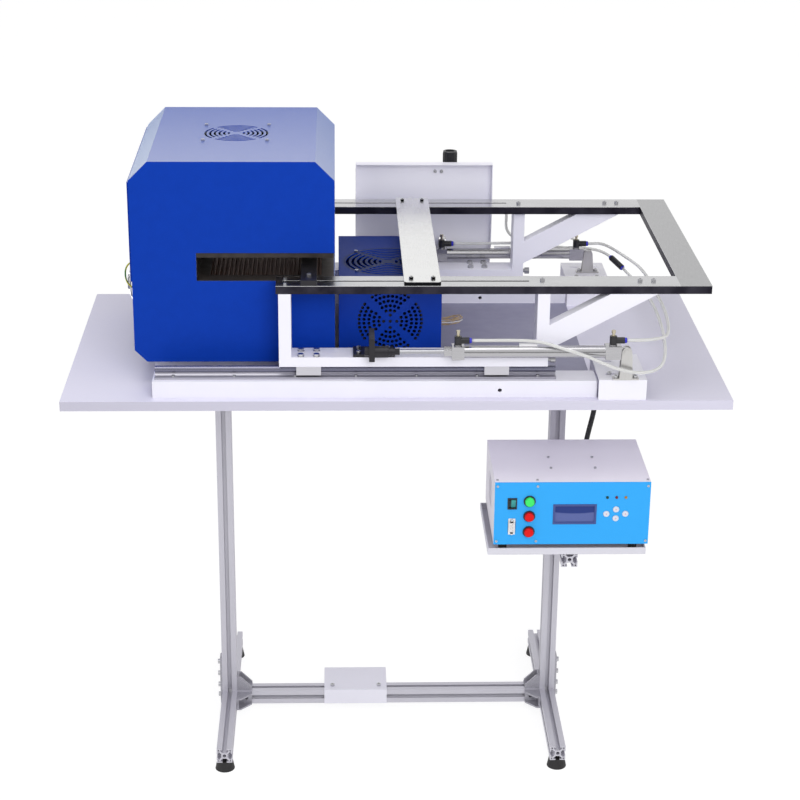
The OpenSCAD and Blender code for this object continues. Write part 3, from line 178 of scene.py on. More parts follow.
def pose(right, up, back, spot):
    """The matrix of an object at a spot, given where its own X, Y and Z axes point."""
    return Matrix([[right[i], up[i], back[i], spot[i]] for i in range(3)] + [[0, 0, 0, 1]])


# ---------------------------------------------------------------- meshes


def link_piece(name, verts, faces, body, uv=None):
    """A new piece from points and faces, with its own UV map if there is one."""
    mesh = bpy.data.meshes.new(name)
    mesh.from_pydata(verts.tolist(), [], faces)
    mesh.update()
    if uv is not None:
        loops = np.zeros(len(mesh.loops), np.int64)
        mesh.loops.foreach_get("vertex_index", loops)
        layer = mesh.uv_layers.new(name="run")
        layer.data.foreach_set("uv", np.asarray(uv, np.float32)[loops].ravel())
    mesh.polygons.foreach_set("use_smooth", [True] * len(mesh.polygons))
    piece = bpy.data.objects.new(name, mesh)
    bpy.context.scene.collection.objects.link(piece)
    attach(piece, body)
    return piece


def grid_faces(rows, cols):
    """Outward quads between the rows of a grid, each row closed round on itself."""
    i, j = np.meshgrid(np.arange(rows - 1), np.arange(cols), indexing="ij")
    k = (j + 1) % cols
    quads = [(i + 1) * cols + j, (i + 1) * cols + k, i * cols + k, i * cols + j]
    return np.stack(quads, axis=-1).reshape(-1, 4).tolist()


def smooth_course(points, per):
    """A curve through the points whose bend changes evenly: the slopes m at the points, per
    metre of chord h, solve h1 m0 + 2 (h0 + h1) m1 + h0 m2 = 3 (h1 d0 + h0 d1), d being the
    chords' own slopes, and the two ends leave along their first and last chord."""
    h = np.linalg.norm(np.diff(points, axis=0), axis=1)
    d = np.diff(points, axis=0) / h[:, None]
    count = len(points)
    system, right = np.eye(count), np.vstack([d[0], np.zeros((count - 2, 3)), d[-1]])
    for i in range(1, count - 1):
        system[i, i - 1 : i + 2] = h[i], 2 * (h[i - 1] + h[i]), h[i - 1]
        right[i] = 3 * (h[i] * d[i - 1] + h[i - 1] * d[i])
    m = np.linalg.solve(system, right)
    t = np.linspace(0, 1, per, endpoint=False)[None, :, None]
    a, b = points[:-1, None], points[1:, None]
    p, q = (m[:-1] * h[:, None])[:, None], (m[1:] * h[:, None])[:, None]
    curve = a + t * p + t**2 * (3 * (b - a) - 2 * p - q) + t**3 * (2 * (a - b) + p + q)
    return np.vstack([curve.reshape(-1, 3), points[-1]])


def aside(direction):
    """A direction square to a unit one: its cross product with Z, or with X where it is steep."""
    return np.cross(direction, [0, 0, 1.0] if abs(direction[2]) < 0.9 else [1.0, 0, 0])


def carried_frames(line):
    """Side and upper direction at each point, the side carried along without a twist: each is
    the last one less its part along the new tangent."""
    tangent = np.gradient(line, axis=0)
    tangent /= np.linalg.norm(tangent, axis=1)[:, None]
    side = np.zeros_like(tangent)
    last = aside(tangent[0])
    for i, t in enumerate(tangent):
        last = last - (last @ t) * t
        last = last / np.linalg.norm(last)
        side[i] = last
    return side, np.cross(tangent, side)


def tube_shell(line, radius, sides):
    """Points, faces and UVs of a round tube along a line: C(s) + r (cos a U(s) + sin a V(s)),
    its ends closed by fans. The UVs hold the distance run in metres and the share of a turn."""
    side, upper = carried_frames(line)
    angle = np.linspace(0, 2 * math.pi, sides, endpoint=False)
    cos, sin = np.cos(angle)[None, :, None], np.sin(angle)[None, :, None]
    verts = (line[:, None] + radius * (cos * side[:, None] + sin * upper[:, None])).reshape(-1, 3)
    steps = np.linalg.norm(np.diff(line, axis=0), axis=1)
    run = np.concatenate([[0], np.cumsum(steps)])
    share = angle / (2 * math.pi)
    uv = np.stack(np.broadcast_arrays(run[:, None], share[None]), axis=-1).reshape(-1, 2)
    start, last = len(verts), (len(line) - 1) * sides
    faces = grid_faces(len(line), sides)
    faces += [(start, j, (j + 1) % sides) for j in range(sides)]
    faces += [(start + 1, last + (j + 1) % sides, last + j) for j in range(sides)]
    verts = np.vstack([verts, line[0], line[-1]])
    uv = np.vstack([uv, [0, 0.5], [run[-1], 0.5]])
    return verts, faces, uv, float(run[-1])


def tube_piece(name, line, radius, sides, body):
    """One round tube along a line, and its length."""
    verts, faces, uv, length = tube_shell(line, radius, sides)
    return link_piece(name, verts, faces, body, uv), length


def bundle_piece(name, line, radius, spread, places, body):
    """Strands laid round a line: strand k runs at C(s) + w(s) (cos b U + sin b V), where
    b = places[k] + twist 2 pi s, and the width w grows from a third of the spread at both
    ends to the whole of it in the middle."""
    side, upper = carried_frames(line)
    share = np.linspace(0, 1, len(line))
    width = spread * (1 / 3 + 2 / 3 * np.sin(math.pi * share) ** 0.5)
    verts, faces, uv, count = [], [], [], 0
    for place in places:
        turn = place + LEAD_TWIST * 2 * math.pi * share
        way = np.cos(turn)[:, None] * side + np.sin(turn)[:, None] * upper
        v, f, u, _ = tube_shell(line + width[:, None] * way, radius, STRAND_SIDES)
        verts.append(v)
        uv.append(u)
        faces += [[i + count for i in face] for face in f]
        count += len(v)
    return link_piece(name, np.vstack(verts), faces, body, np.vstack(uv))


def turned_piece(name, profile, centre, axis, body):
    """A turned piece: the profile's (distance along, radius) pairs carried round an axis."""
    along, radius = np.array(profile, float).T / 1000
    n = np.array(axis, float) / np.linalg.norm(axis)
    u = aside(n)
    u /= np.linalg.norm(u)
    v = np.cross(n, u)
    angle = np.linspace(0, 2 * math.pi, COLLET_SIDES, endpoint=False)
    ring = np.cos(angle)[:, None] * u + np.sin(angle)[:, None] * v
    verts = centre + along[:, None, None] * n + radius[:, None, None] * ring[None]
    faces = grid_faces(len(along), COLLET_SIDES)
    return link_piece(name, verts.reshape(-1, 3), faces, body)


# ---------------------------------------------------------------- finishes


class Wire:
    """A shader value that Python arithmetic extends with Math nodes."""

    def __init__(self, tree, socket):
        self.tree = tree
        self.socket = socket

    def math(self, operation, *others):
        """A Math node on this value and others."""
        return self.tree.math(operation, self, *others)

    def __add__(self, other):
        return self.math("ADD", other)

    __radd__ = __add__

    def __sub__(self, other):
        return self.math("SUBTRACT", other)

    def __rsub__(self, other):
        return self.tree.math("SUBTRACT", other, self)

    def __mul__(self, other):
        return self.math("MULTIPLY", other)

    __rmul__ = __mul__

    def __gt__(self, other):
        return self.math("GREATER_THAN", other)

    def __lt__(self, other):
        return self.math("LESS_THAN", other)

    def between(self, low, high):
        """1 where the value lies between two others, else 0."""
        return (self > low) * (self < high)

    def ramp(self, low, high, start=0.0, end=1.0):
        """Runs from start to end as the value goes from low to high, and stays there outside."""
        inputs = {"Value": self, "From Min": low, "From Max": high, "To Min": start, "To Max": end}
        node = self.tree.node("ShaderNodeMapRange", {"clamp": True}, inputs)
        return Wire(self.tree, node.outputs[0])

    def drawn(self, start=0.0, end=1.0):
        """Noise, which lies mostly between 0.3 and 0.7, drawn out to run from start to end."""
        return self.ramp(0.3, 0.7, start, end)


def greatest(first, *others):
    """The greatest of several values: 1 where any of several masks is 1."""
    for other in others:
        first = first.math("MAXIMUM", other)
    return first


def distance(across, along):
    """The length of the slant over two values."""
    return (across * across + along * along).math("SQRT")


class Tree:
    """A node tree, and the one method that adds a node to it."""

    def __init__(self, tree):
        self.tree = tree
        self.coords = None

    def feed(self, socket, value):
        """Links a Wire or a socket, or sets a plain value."""
        if isinstance(value, Wire):
            value = value.socket
        if isinstance(value, bpy.types.NodeSocket):
            self.tree.links.new(value, socket)
        else:
            socket.default_value = value

    def node(self, kind, settings=None, inputs=None):
        """Adds a node of a type: first its settings, then the values or links of its sockets."""
        node = self.tree.nodes.new(kind)
        for key, value in (settings or {}).items():
            setattr(node, key, value)
        for key, value in (inputs or {}).items():
            self.feed(node.inputs[key], value)
        return node

    def math(self, operation, *values):
        """A Math node on some values."""
        node = self.node("ShaderNodeMath", {"operation": operation}, dict(enumerate(values)))
        return Wire(self, node.outputs[0])

    def parts(self, vector, count=3):
        """The first parts of a vector socket."""
        split = self.node("ShaderNodeSeparateXYZ", None, {0: vector})
        return [Wire(self, split.outputs[i]) for i in range(count)]

    def ray(self, *kinds):
        """1 for a ray of any of these kinds, else 0."""
        path = self.node("ShaderNodeLightPath")
        return greatest(*(Wire(self, path.outputs[kind]) for kind in kinds))


class Finish(Tree):
    """A material and its Principled shader."""

    def __init__(self, name, colour, roughness=0.5, metallic=0.0, **fixed):
        self.material = bpy.data.materials.new(name)
        self.material.use_nodes = True
        super().__init__(self.material.node_tree)
        self.shader = self.tree.nodes["Principled BSDF"]
        self.material.diffuse_color = (*colour, 1)
        self.put({"Base Color": (*colour, 1), "Roughness": roughness, "Metallic": metallic})
        self.put(fixed)

    def put(self, values):
        """Sets or links inputs of the shader by name, with _ for each space."""
        for name, value in values.items():
            self.feed(self.shader.inputs[name.replace("_", " ")], value)

    def place(self):
        """Object coordinates as a vector socket."""
        if self.coords is None:
            self.coords = self.node("ShaderNodeTexCoord").outputs["Object"]
        return self.coords

    def xyz(self):
        """The place on the machine, in metres."""
        return self.parts(self.place())

    def run(self):
        """Distance along a tube in metres and the share of a turn round it."""
        return self.parts(self.node("ShaderNodeUVMap", {"uv_map": "run"}).outputs[0], 2)

    def facing(self):
        """The three parts of the surface's own direction."""
        return self.parts(self.node("ShaderNodeNewGeometry").outputs["Normal"])

    def noise(self, scale, detail=2, stretch=(1, 1, 1), rough=0.5):
        """Cloudy values from 0 to 1, scale repeats to a metre, drawn out along an axis by a
        small stretch."""
        placing = {"Vector": self.place(), "Scale": stretch}
        vector = self.node("ShaderNodeMapping", None, placing).outputs[0]
        inputs = {"Vector": vector, "Scale": scale, "Detail": detail, "Roughness": rough}
        return Wire(self, self.node("ShaderNodeTexNoise", None, inputs).outputs["Fac"])

    def lines(self, scale, along, stretch):
        """Fine lines along one axis: noise drawn out by a small stretch."""
        return self.noise(scale, 4, [stretch if i == along else 1.0 for i in range(3)], 0.7)

    def grains(self, scale):
        """Distance to the nearest of scattered points, for pits."""
        node = self.node("ShaderNodeTexVoronoi", None, {"Vector": self.place(), "Scale": scale})
        return Wire(self, node.outputs["Distance"])

    def mix(self, share, first, second):
        """A colour between two, as a socket."""
        pair = [v if isinstance(v, bpy.types.NodeSocket) else (*v, 1) for v in (first, second)]
        inputs = {0: share, 6: pair[0], 7: pair[1]}
        return self.node("ShaderNodeMix", {"data_type": "RGBA"}, inputs).outputs[2]

    def paint(self, share, first, second):
        """Makes the base colour a mix of two."""
        self.put({"Base Color": self.mix(share, first, second)})

    def over(self, share, colour):
        """Lays a colour over the base colour that is already there."""
        self.paint(share, self.shader.inputs["Base Color"].links[0].from_socket, colour)

    def gloss(self, scale, low, high, detail=2):
        """Roughness that comes and goes between two values."""
        self.put({"Roughness": self.noise(scale, detail).drawn(low, high)})

    def rounded(self, edge):
        """The surface's direction with its edges rounded to a radius."""
        return self.node("ShaderNodeBevel", {"samples": 4}, {"Radius": edge}).outputs[0]

    def relief(self, height, depth, edge=0.0):
        """Bumps the surface by the height, in metres of depth, over edges rounded to a radius."""
        inputs = {"Height": height, "Distance": depth}
        if edge:
            inputs["Normal"] = self.rounded(edge)
        self.put({"Normal": self.node("ShaderNodeBump", None, inputs).outputs[0]})

    def soften(self, edge):
        """Rounds the edges that light catches."""
        self.put({"Normal": self.rounded(edge)})

    def on(self, *names):
        """Gives the finish to nodes of the frame or pieces of the scene."""
        for name in names:
            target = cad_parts.get(name) or bpy.data.objects[name]
            target.data.materials.clear()
            target.data.materials.append(self.material)


def tinted(colour, gain):
    """A colour made darker or paler by a factor."""
    return tuple(min(1.0, c * gain) for c in colour)


def tones(colour, low, high):
    """Two tones of a colour."""
    return tinted(colour, low), tinted(colour, high)


# Where a function below is given a pair, these are the two tones that the colour drifts between.


def powder_coat(name, colour, edge=0.0006, rough=0.42, peel=0.00005, pair=None):
    """Powder coat: faint orange peel, colour that drifts by a few percent, softly lit edges."""
    f = Finish(name, colour, rough)
    f.paint(f.noise(9), *(pair or tones(colour, 0.965, 1.03)))
    f.gloss(40, rough - 0.05, rough + 0.06)
    f.relief(f.noise(900), peel, edge)
    return f


def oven_enamel(name, colour):
    """Fine-textured blue enamel: grains of about 0.7 mm, matt on the upright faces, with a
    clear coat on the upward ones that catches a pale sheen at a low angle, less of it to the
    back."""
    f = Finish(name, colour, 0.45, Coat_Roughness=0.26, Coat_IOR=3.0, Specular_IOR_Level=0.06)
    f.put({"Sheen Weight": 0.8, "Sheen Roughness": 0.3, "Sheen Tint": (0.75, 0.9, 1, 1)})
    grain = f.noise(1500, 3, rough=0.6)
    patch = f.noise(60, 3)
    f.paint(grain.ramp(0.35, 0.65), *tones(colour, 0.9, 1.08))
    f.over(patch.drawn(0.0, 0.35), tinted(colour, 1.14))
    y, up = f.xyz()[1], f.facing()[2]
    coat = up.ramp(0.3, 0.65) * y.ramp(-0.27, 0.2, 1.0, 0.3) * patch.ramp(0.2, 0.8, 0.88, 1.0)
    f.put({"Roughness": grain.drawn(0.38, 0.55), "Coat Weight": coat})
    f.relief(grain, 0.00016, 0.0009)
    return f


def fan_enamel(name, colour, centre):
    """The same blue with no coat, and a painted dark reflection on its upward faces, near black
    inside the round grille of the top and in its slots."""
    f = Finish(name, colour, 0.5, Specular_IOR_Level=0.2)
    x, y, _ = f.xyz()
    grain = f.noise(1500, 3, rough=0.6)
    f.paint(grain.ramp(0.35, 0.65), *tones(colour, 0.92, 1.1))
    inside = distance(x - centre[0], y - centre[1]).ramp(0.09, 0.082)
    # Painted reflection: the upward faces are darkened, most inside the round grille.
    f.over(f.facing()[2].ramp(0.6, 0.9) * (0.6 + 0.3 * inside), (0.006, 0.014, 0.05))
    f.put({"Roughness": grain.drawn(0.44, 0.58)})
    f.relief(grain, 0.00014, 0.0009)
    return f


def drawn_metal(name, colour, along, rough, edge, streak, metallic=1.0, pair=None):
    """Drawn or brushed metal: fine lines along one axis in tone, gloss and relief."""
    f = Finish(name, colour, rough, metallic)
    lines = f.lines(1800, along, 0.02)
    cloud = f.noise(14, 3)
    f.paint(lines.drawn(), *(pair or tones(colour, 1 - streak, 1 + streak)))
    gloss = (lines * 0.12 + cloud * 0.14).ramp(0.05, 0.22, rough - 0.07, rough + 0.1)
    f.put({"Roughness": gloss})
    f.relief(lines, 0.00004, edge)
    return f


def moulded(name, colour, rough=0.5, edge=0.0004, grain=1200, depth=0.00004, pair=None):
    """Moulded plastic or rubber: a fine even grain, a little gloss that comes and goes."""
    f = Finish(name, colour, rough)
    f.paint(f.noise(25), *(pair or tones(colour, 0.9, 1.12)))
    f.gloss(90, rough - 0.06, rough + 0.08)
    f.relief(f.noise(grain), depth, edge)
    return f


# ---------------------------------------------------------------- properties


def colour_property(name, description, default):
    """A colour that the panel shows."""
    return bpy.props.FloatVectorProperty(
        name=name, description=description, subtype="COLOR", size=3, min=0, max=1, default=default
    )


def number_property(name, description, default, **kind):
    """A number that the panel shows."""
    return bpy.props.FloatProperty(name=name, description=description, default=default, **kind)


class HSM_Finishes(bpy.types.PropertyGroup):
    """Colours of the machine's finishes."""

    laminate: colour_property("Laminate", "Top of the bench", (0.75, 0.73, 0.87))
    powder: colour_property("Powder coat", "White frames, base and sheets", (0.80, 0.79, 0.87))
    case_shell: colour_property("Case shell", "Off-white case", (0.91, 0.875, 0.95))
    oven: colour_property("Oven", "Blue enamel", (0.004, 0.044, 0.40))
    panel: colour_property("Panel", "Sky-blue front of the case", (0.036, 0.42, 0.97))
    extrusion: colour_property("Extrusion", "Anodised profile", (0.60, 0.59, 0.65))
    steel: colour_property("Steel", "Polished ring and rods", (0.62, 0.62, 0.63))
    hose: colour_property("Hose", "Clear air hose", (0.78, 0.78, 0.765))
    collet: colour_property("Collet", "Release rings of the fittings", (0.03, 0.03, 0.55))


class HSM_Sizes(bpy.types.PropertyGroup):
    """Sizes of the pieces that are added to the frame."""

    hose_diameter: number_property(
        "Hose", "Outer diameter of the air hoses", 0.006, unit="LENGTH"
    )
    cable_diameter: number_property(
        "Cable", "Outer diameter of the case cable", 0.010, unit="LENGTH"
    )
    lead_diameter: number_property(
        "Lead", "Outer diameter of the short leads", 0.003, unit="LENGTH"
    )


class HSM_Stage(bpy.types.PropertyGroup):
    """Camera and light."""

    lens: number_property("Lens", "Focal length", 88.97, unit="CAMERA")
    pitch: number_property("Pitch", "Camera's dip", 0.37672, subtype="ANGLE")
    yaw: number_property("Yaw", "Camera's turn to +X", 0.03457, subtype="ANGLE")
    roll: number_property("Roll", "Camera's roll", 0.01042, subtype="ANGLE")
    key: number_property("Key", "Power of the overhead lamp", 30.0, unit="POWER")
    fill: number_property("Fill", "Power of the front lamp", 78.0, unit="POWER")
    sky: number_property("Sky", "Strength of the soft surround", 0.53)
    room: number_property("Room", "What gloss sees low down in front", 0.38)


# ---------------------------------------------------------------- operators


class HSM_OT_stage(bpy.types.Operator):
    """Pale floor, soft lamps and the camera"""

    bl_idname = "heat_shrink.stage"
    bl_label = "Stage"

    def execute(self, context):
        scene, s = context.scene, context.scene.hsm_stage
        scene.view_settings.view_transform = "Standard"
        self.camera(scene, s)
        self.floor(scene)
        self.surround(scene, s)
        self.lamp(scene, "key", s.key)
        self.lamp(scene, "fill", s.fill)
        return {"FINISHED"}

    def camera(self, scene, s):
        """The camera, turned by its yaw, dipped by its pitch and rolled about its own sight."""
        cam = bpy.data.objects.new("camera", bpy.data.cameras.new("camera"))
        scene.collection.objects.link(cam)
        cam.data.lens = s.lens
        cam.data.sensor_width = SENSOR_WIDTH
        cam.data.clip_end = CAMERA_REACH
        level = math.cos(s.pitch)
        ahead = np.array([math.sin(s.yaw) * level, math.cos(s.yaw) * level, -math.sin(s.pitch)])
        flat = np.array([math.cos(s.yaw), -math.sin(s.yaw), 0])
        above = np.cross(flat, ahead)
        right = math.cos(s.roll) * flat + math.sin(s.roll) * above
        up = -math.sin(s.roll) * flat + math.cos(s.roll) * above
        cam.matrix_world = pose(right, up, -ahead, at(*CAMERA_SPOT))
        scene.camera = cam

    def floor(self, scene):
        """A square of floor that the camera, clear surfaces and gloss see lit up."""
        mesh = bpy.data.meshes.new("floor")
        corners = [(-1, -1), (1, -1), (1, 1), (-1, 1)]
        mesh.from_pydata(
            [(x * FLOOR_HALF, y * FLOOR_HALF, 0) for x, y in corners], [], [(0, 1, 2, 3)]
        )
        floor = bpy.data.objects.new("floor", mesh)
        scene.collection.objects.link(floor)
        f = Finish("floor_white", (0.86, 0.86, 0.87), 0.9)
        lit = {"Color": (1, 1, 1, 1), "Strength": FLOOR_GLOW}
        glow = f.node("ShaderNodeEmission", None, lit).outputs[0]
        share = f.ray("Is Camera Ray", "Is Transmission Ray", "Is Glossy Ray") * FLOOR_SHARE
        both = f.node("ShaderNodeMixShader", None, {0: share, 1: f.shader.outputs[0], 2: glow})
        f.feed(f.tree.nodes["Material Output"].inputs[0], both.outputs[0])
        mesh.materials.append(f.material)

    def surround(self, scene, s):
        """Soft even surround, which the camera and clear surfaces see as white. Glossy surfaces
        see the white backdrop and ceiling too, falling off to the right, and it is dimmer only
        low down in front."""
        scene.world = bpy.data.worlds.new("surround")
        scene.world.use_nodes = True
        w = Tree(scene.world.node_tree)
        across, ahead, up = w.parts(w.node("ShaderNodeTexCoord").outputs["Generated"])
        backdrop = ahead.ramp(-0.15, 0.35) * across.ramp(0.0, 0.5, 1.0, 0.5)
        room = greatest(backdrop, up.ramp(0.08, 0.36)).ramp(0.0, 1.0, s.room, 1.0)
        gloss = w.node("ShaderNodeMix", None, {0: w.ray("Is Glossy Ray"), 2: s.sky, 3: room})
        seen = w.ray("Is Camera Ray", "Is Transmission Ray")
        level = w.node("ShaderNodeMix", None, {0: seen, 2: gloss.outputs[0], 3: 1.0})
        back = w.tree.nodes["Background"]
        w.feed(back.inputs["Color"], (1, 1, 1, 1))
        w.feed(back.inputs["Strength"], level.outputs[0])

    def lamp(self, scene, name, power):
        """A square lamp that faces what it aims at."""
        spot, aim, size, glossy = LAMPS[name]
        light = bpy.data.lights.new(name, "AREA")
        light.shape = "SQUARE"
        light.size = size
        light.energy = power
        lamp = bpy.data.objects.new(name, light)
        lamp.visible_glossy = glossy
        scene.collection.objects.link(lamp)
        back = np.array(spot, float) - np.array(aim, float)
        back /= np.linalg.norm(back)
        side = np.cross([0, 0, 1.0], back)
        side /= np.linalg.norm(side)
        lamp.matrix_world = pose(side, np.cross(back, side), back, spot)


class HSM_OT_hoses(bpy.types.Operator):
    """Clear air hoses between the cylinders and the valve, and the cable of the case"""

    bl_idname = "heat_shrink.hoses"
    bl_label = "Hoses and cable"

    def execute(self, context):
        sizes, tone = context.scene.hsm_sizes, context.scene.hsm_finishes.hose
        clear = Finish("hose_clear", tone, 0.35, Transmission_Weight=0.3, IOR=1.36)
        cloud = clear.noise(30)
        clear.paint(cloud, *tones(tone, 0.93, 1.06))
        clear.put({"Roughness": cloud.drawn(0.3, 0.4)})
        for name, points in HOSES.items():
            self.lay(name, points, sizes.hose_diameter, "hose_clear", clear, "medium")
        sheath = moulded("cable_sheath", (0.02, 0.02, 0.022), 0.5, 0, 700)
        self.lay("case_cable", CASE_CABLE, sizes.cable_diameter, "cable_black", sheath, "stiff")
        return {"FINISHED"}

    def lay(self, node, points, diameter, slot, finish, stiffness):
        """A hose or cable along a node's route, in place of the node."""
        line = smooth_course(route(points), HOSE_STEPS)
        radius = diameter / 2
        piece, length = tube_piece(node + "_run", line, radius, HOSE_SIDES, "machine")
        finish.on(piece.name)
        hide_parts(node)


class HSM_OT_leads(bpy.types.Operator):
    """Striped earth wire at the oven's side and the sleeved leads of the fan box"""

    bl_idname = "heat_shrink.leads"
    bl_label = "Short leads"

    def execute(self, context):
        diameter = context.scene.hsm_sizes.lead_diameter
        self.earth(diameter)
        self.fan(diameter)
        return {"FINISHED"}

    def earth(self, diameter):
        """Earth wire: a green stripe winds round its yellow."""
        line = smooth_course(route(EARTH_WIRE), LEAD_STEPS)
        radius = diameter / 2
        wire, _ = tube_piece("earth_wire_run", line, radius, LEAD_SIDES, "machine")
        f = Finish("earth_stripe", (0.62, 0.60, 0.03), 0.38)
        run, turn = f.run()
        stripe = (turn + run * STRIPE_TURNS).math("FRACT").between(0.0, STRIPE_WIDTH)
        f.paint(stripe, (0.66, 0.60, 0.02), (0.04, 0.24, 0.04))
        f.gloss(200, 0.32, 0.44)
        f.on(wire.name)
        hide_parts("earth_wire")

    def fan(self, diameter):
        """Fan lead: six strands laid together, five in tan and one in white. The tan braid is
        two sine waves that wind opposite ways round each strand, multiplied."""
        line = smooth_course(route(FAN_LEAD), LEAD_STEPS)
        strand, spread = diameter * 0.3, diameter * 1.5
        places = [2 * math.pi / 6 * k for k in range(6)]
        tan = bundle_piece(
            "fan_lead_tan", line, strand, spread, places[:5], "machine"
        )
        white = bundle_piece(
            "fan_lead_white", line, strand, spread, places[5:], "machine"
        )
        f = Finish("tan_wire", (0.50, 0.36, 0.20), 0.5)
        run, turn = f.run()
        along, around = run * BRAID_ALONG, turn * BRAID_AROUND
        one, two = [
            (way * 2 * math.pi).math("SINE") for way in (along + around, along - around)
        ]
        weave = (one * two).ramp(-1, 1)
        f.paint(weave, (0.40, 0.27, 0.14), (0.66, 0.50, 0.31))
        f.relief(weave, 0.0001)
        f.on(tan.name)
        moulded("white_wire", (0.74, 0.73, 0.72), 0.4, 0, 900, 0.00002).on(white.name)
        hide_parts("fan_lead")
        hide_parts("fan_lead")


class HSM_OT_bench(bpy.types.Operator):
    """Laminate, anodised profile, cast brackets, rubber feet and folded sheets"""

    bl_idname = "heat_shrink.bench"
    bl_label = "Bench finishes"

    def execute(self, context):
        t = context.scene.hsm_finishes
        self.top(t.laminate)
        for name, node, along in (
            ("anodised_upright", "uprights", 2),
            ("anodised_foot", "feet", 1),
            ("anodised_beam", "beams", 0),
        ):
            drawn_metal(name, t.extrusion, along, 0.42, 0.0003, 0.06, 0.45).on(node)
        cast = Finish("cast_bracket", (0.42, 0.41, 0.46), 0.5, 0.6)
        pits = cast.grains(900)
        cast.paint(pits.ramp(0, 0.7), (0.30, 0.30, 0.34), (0.50, 0.49, 0.54))
        cast.gloss(150, 0.4, 0.6)
        cast.relief(pits, 0.00012, 0.0005)
        cast.on("brackets")
        moulded("foot_rubber", (0.018, 0.017, 0.018), 0.62, 0.001, 600, 0.0001).on("rubber_feet")
        self.sheets(t.powder)
        return {"FINISHED"}

    def top(self, colour):
        """Laminate with a fine fleck, a painted shade darker to the back and to the right, and a
        painted shade on its edges that pales to the right."""
        f = Finish("laminate", colour, 0.36, Specular_IOR_Level=0.45)
        x, y, z = f.xyz()
        painted_shade = tinted(colour, 0.86)
        f.paint(f.noise(700, 3).ramp(0.35, 0.65), *tones(colour, 0.975, 1.02))
        f.over(f.noise(3).drawn(0, 0.4), tinted(colour, 1.05))
        # Painted shade, darker to the back and to the right.
        f.over(y.ramp(-0.3, 0.33) * 0.6, painted_shade)
        f.over(x.ramp(0.2, 0.6) * 0.5, painted_shade)
        # Painted shade on the edges of the top, darkest at the left.
        painted_edge_shade = f.mix(x.ramp(-0.7, 0.55), *tones(colour, 0.72, 0.90))
        f.over(z.between(*TABLE_EDGE_Z) * 0.9, painted_edge_shade)
        f.gloss(120, 0.3, 0.42, 3)
        f.relief(f.noise(500, 3), 0.00004, 0.0009)
        f.on("tabletop")

    def sheets(self, powder):
        """Powder-coated blocks and sheets, with a painted shade of the top over the tray of the
        case, and a paler copy, painted light, for the rear panel.
        """
        powder_coat("block_white", tinted(powder, 1.15)).on("clevis_blocks")
        pale = tinted(powder, 1.12)
        sheet = powder_coat("sheet_white", pale, pair=tones(powder, 1.08, 1.15))
        # Painted shade of the top over the tray of the case, at half strength.
        sheet.over((sheet.xyz()[2] > TRAY_Z) * 0.5, tinted(powder, 0.66))
        sheet.on("sheet_brackets")
        # A slightly paler copy of the sheet white for the rear panel: painted light against the
        # shade it stands in.
        powder_coat("rear_sheet_painted_light", pale, pair=tones(powder, 1.10, 1.16)).on("rear_panel")


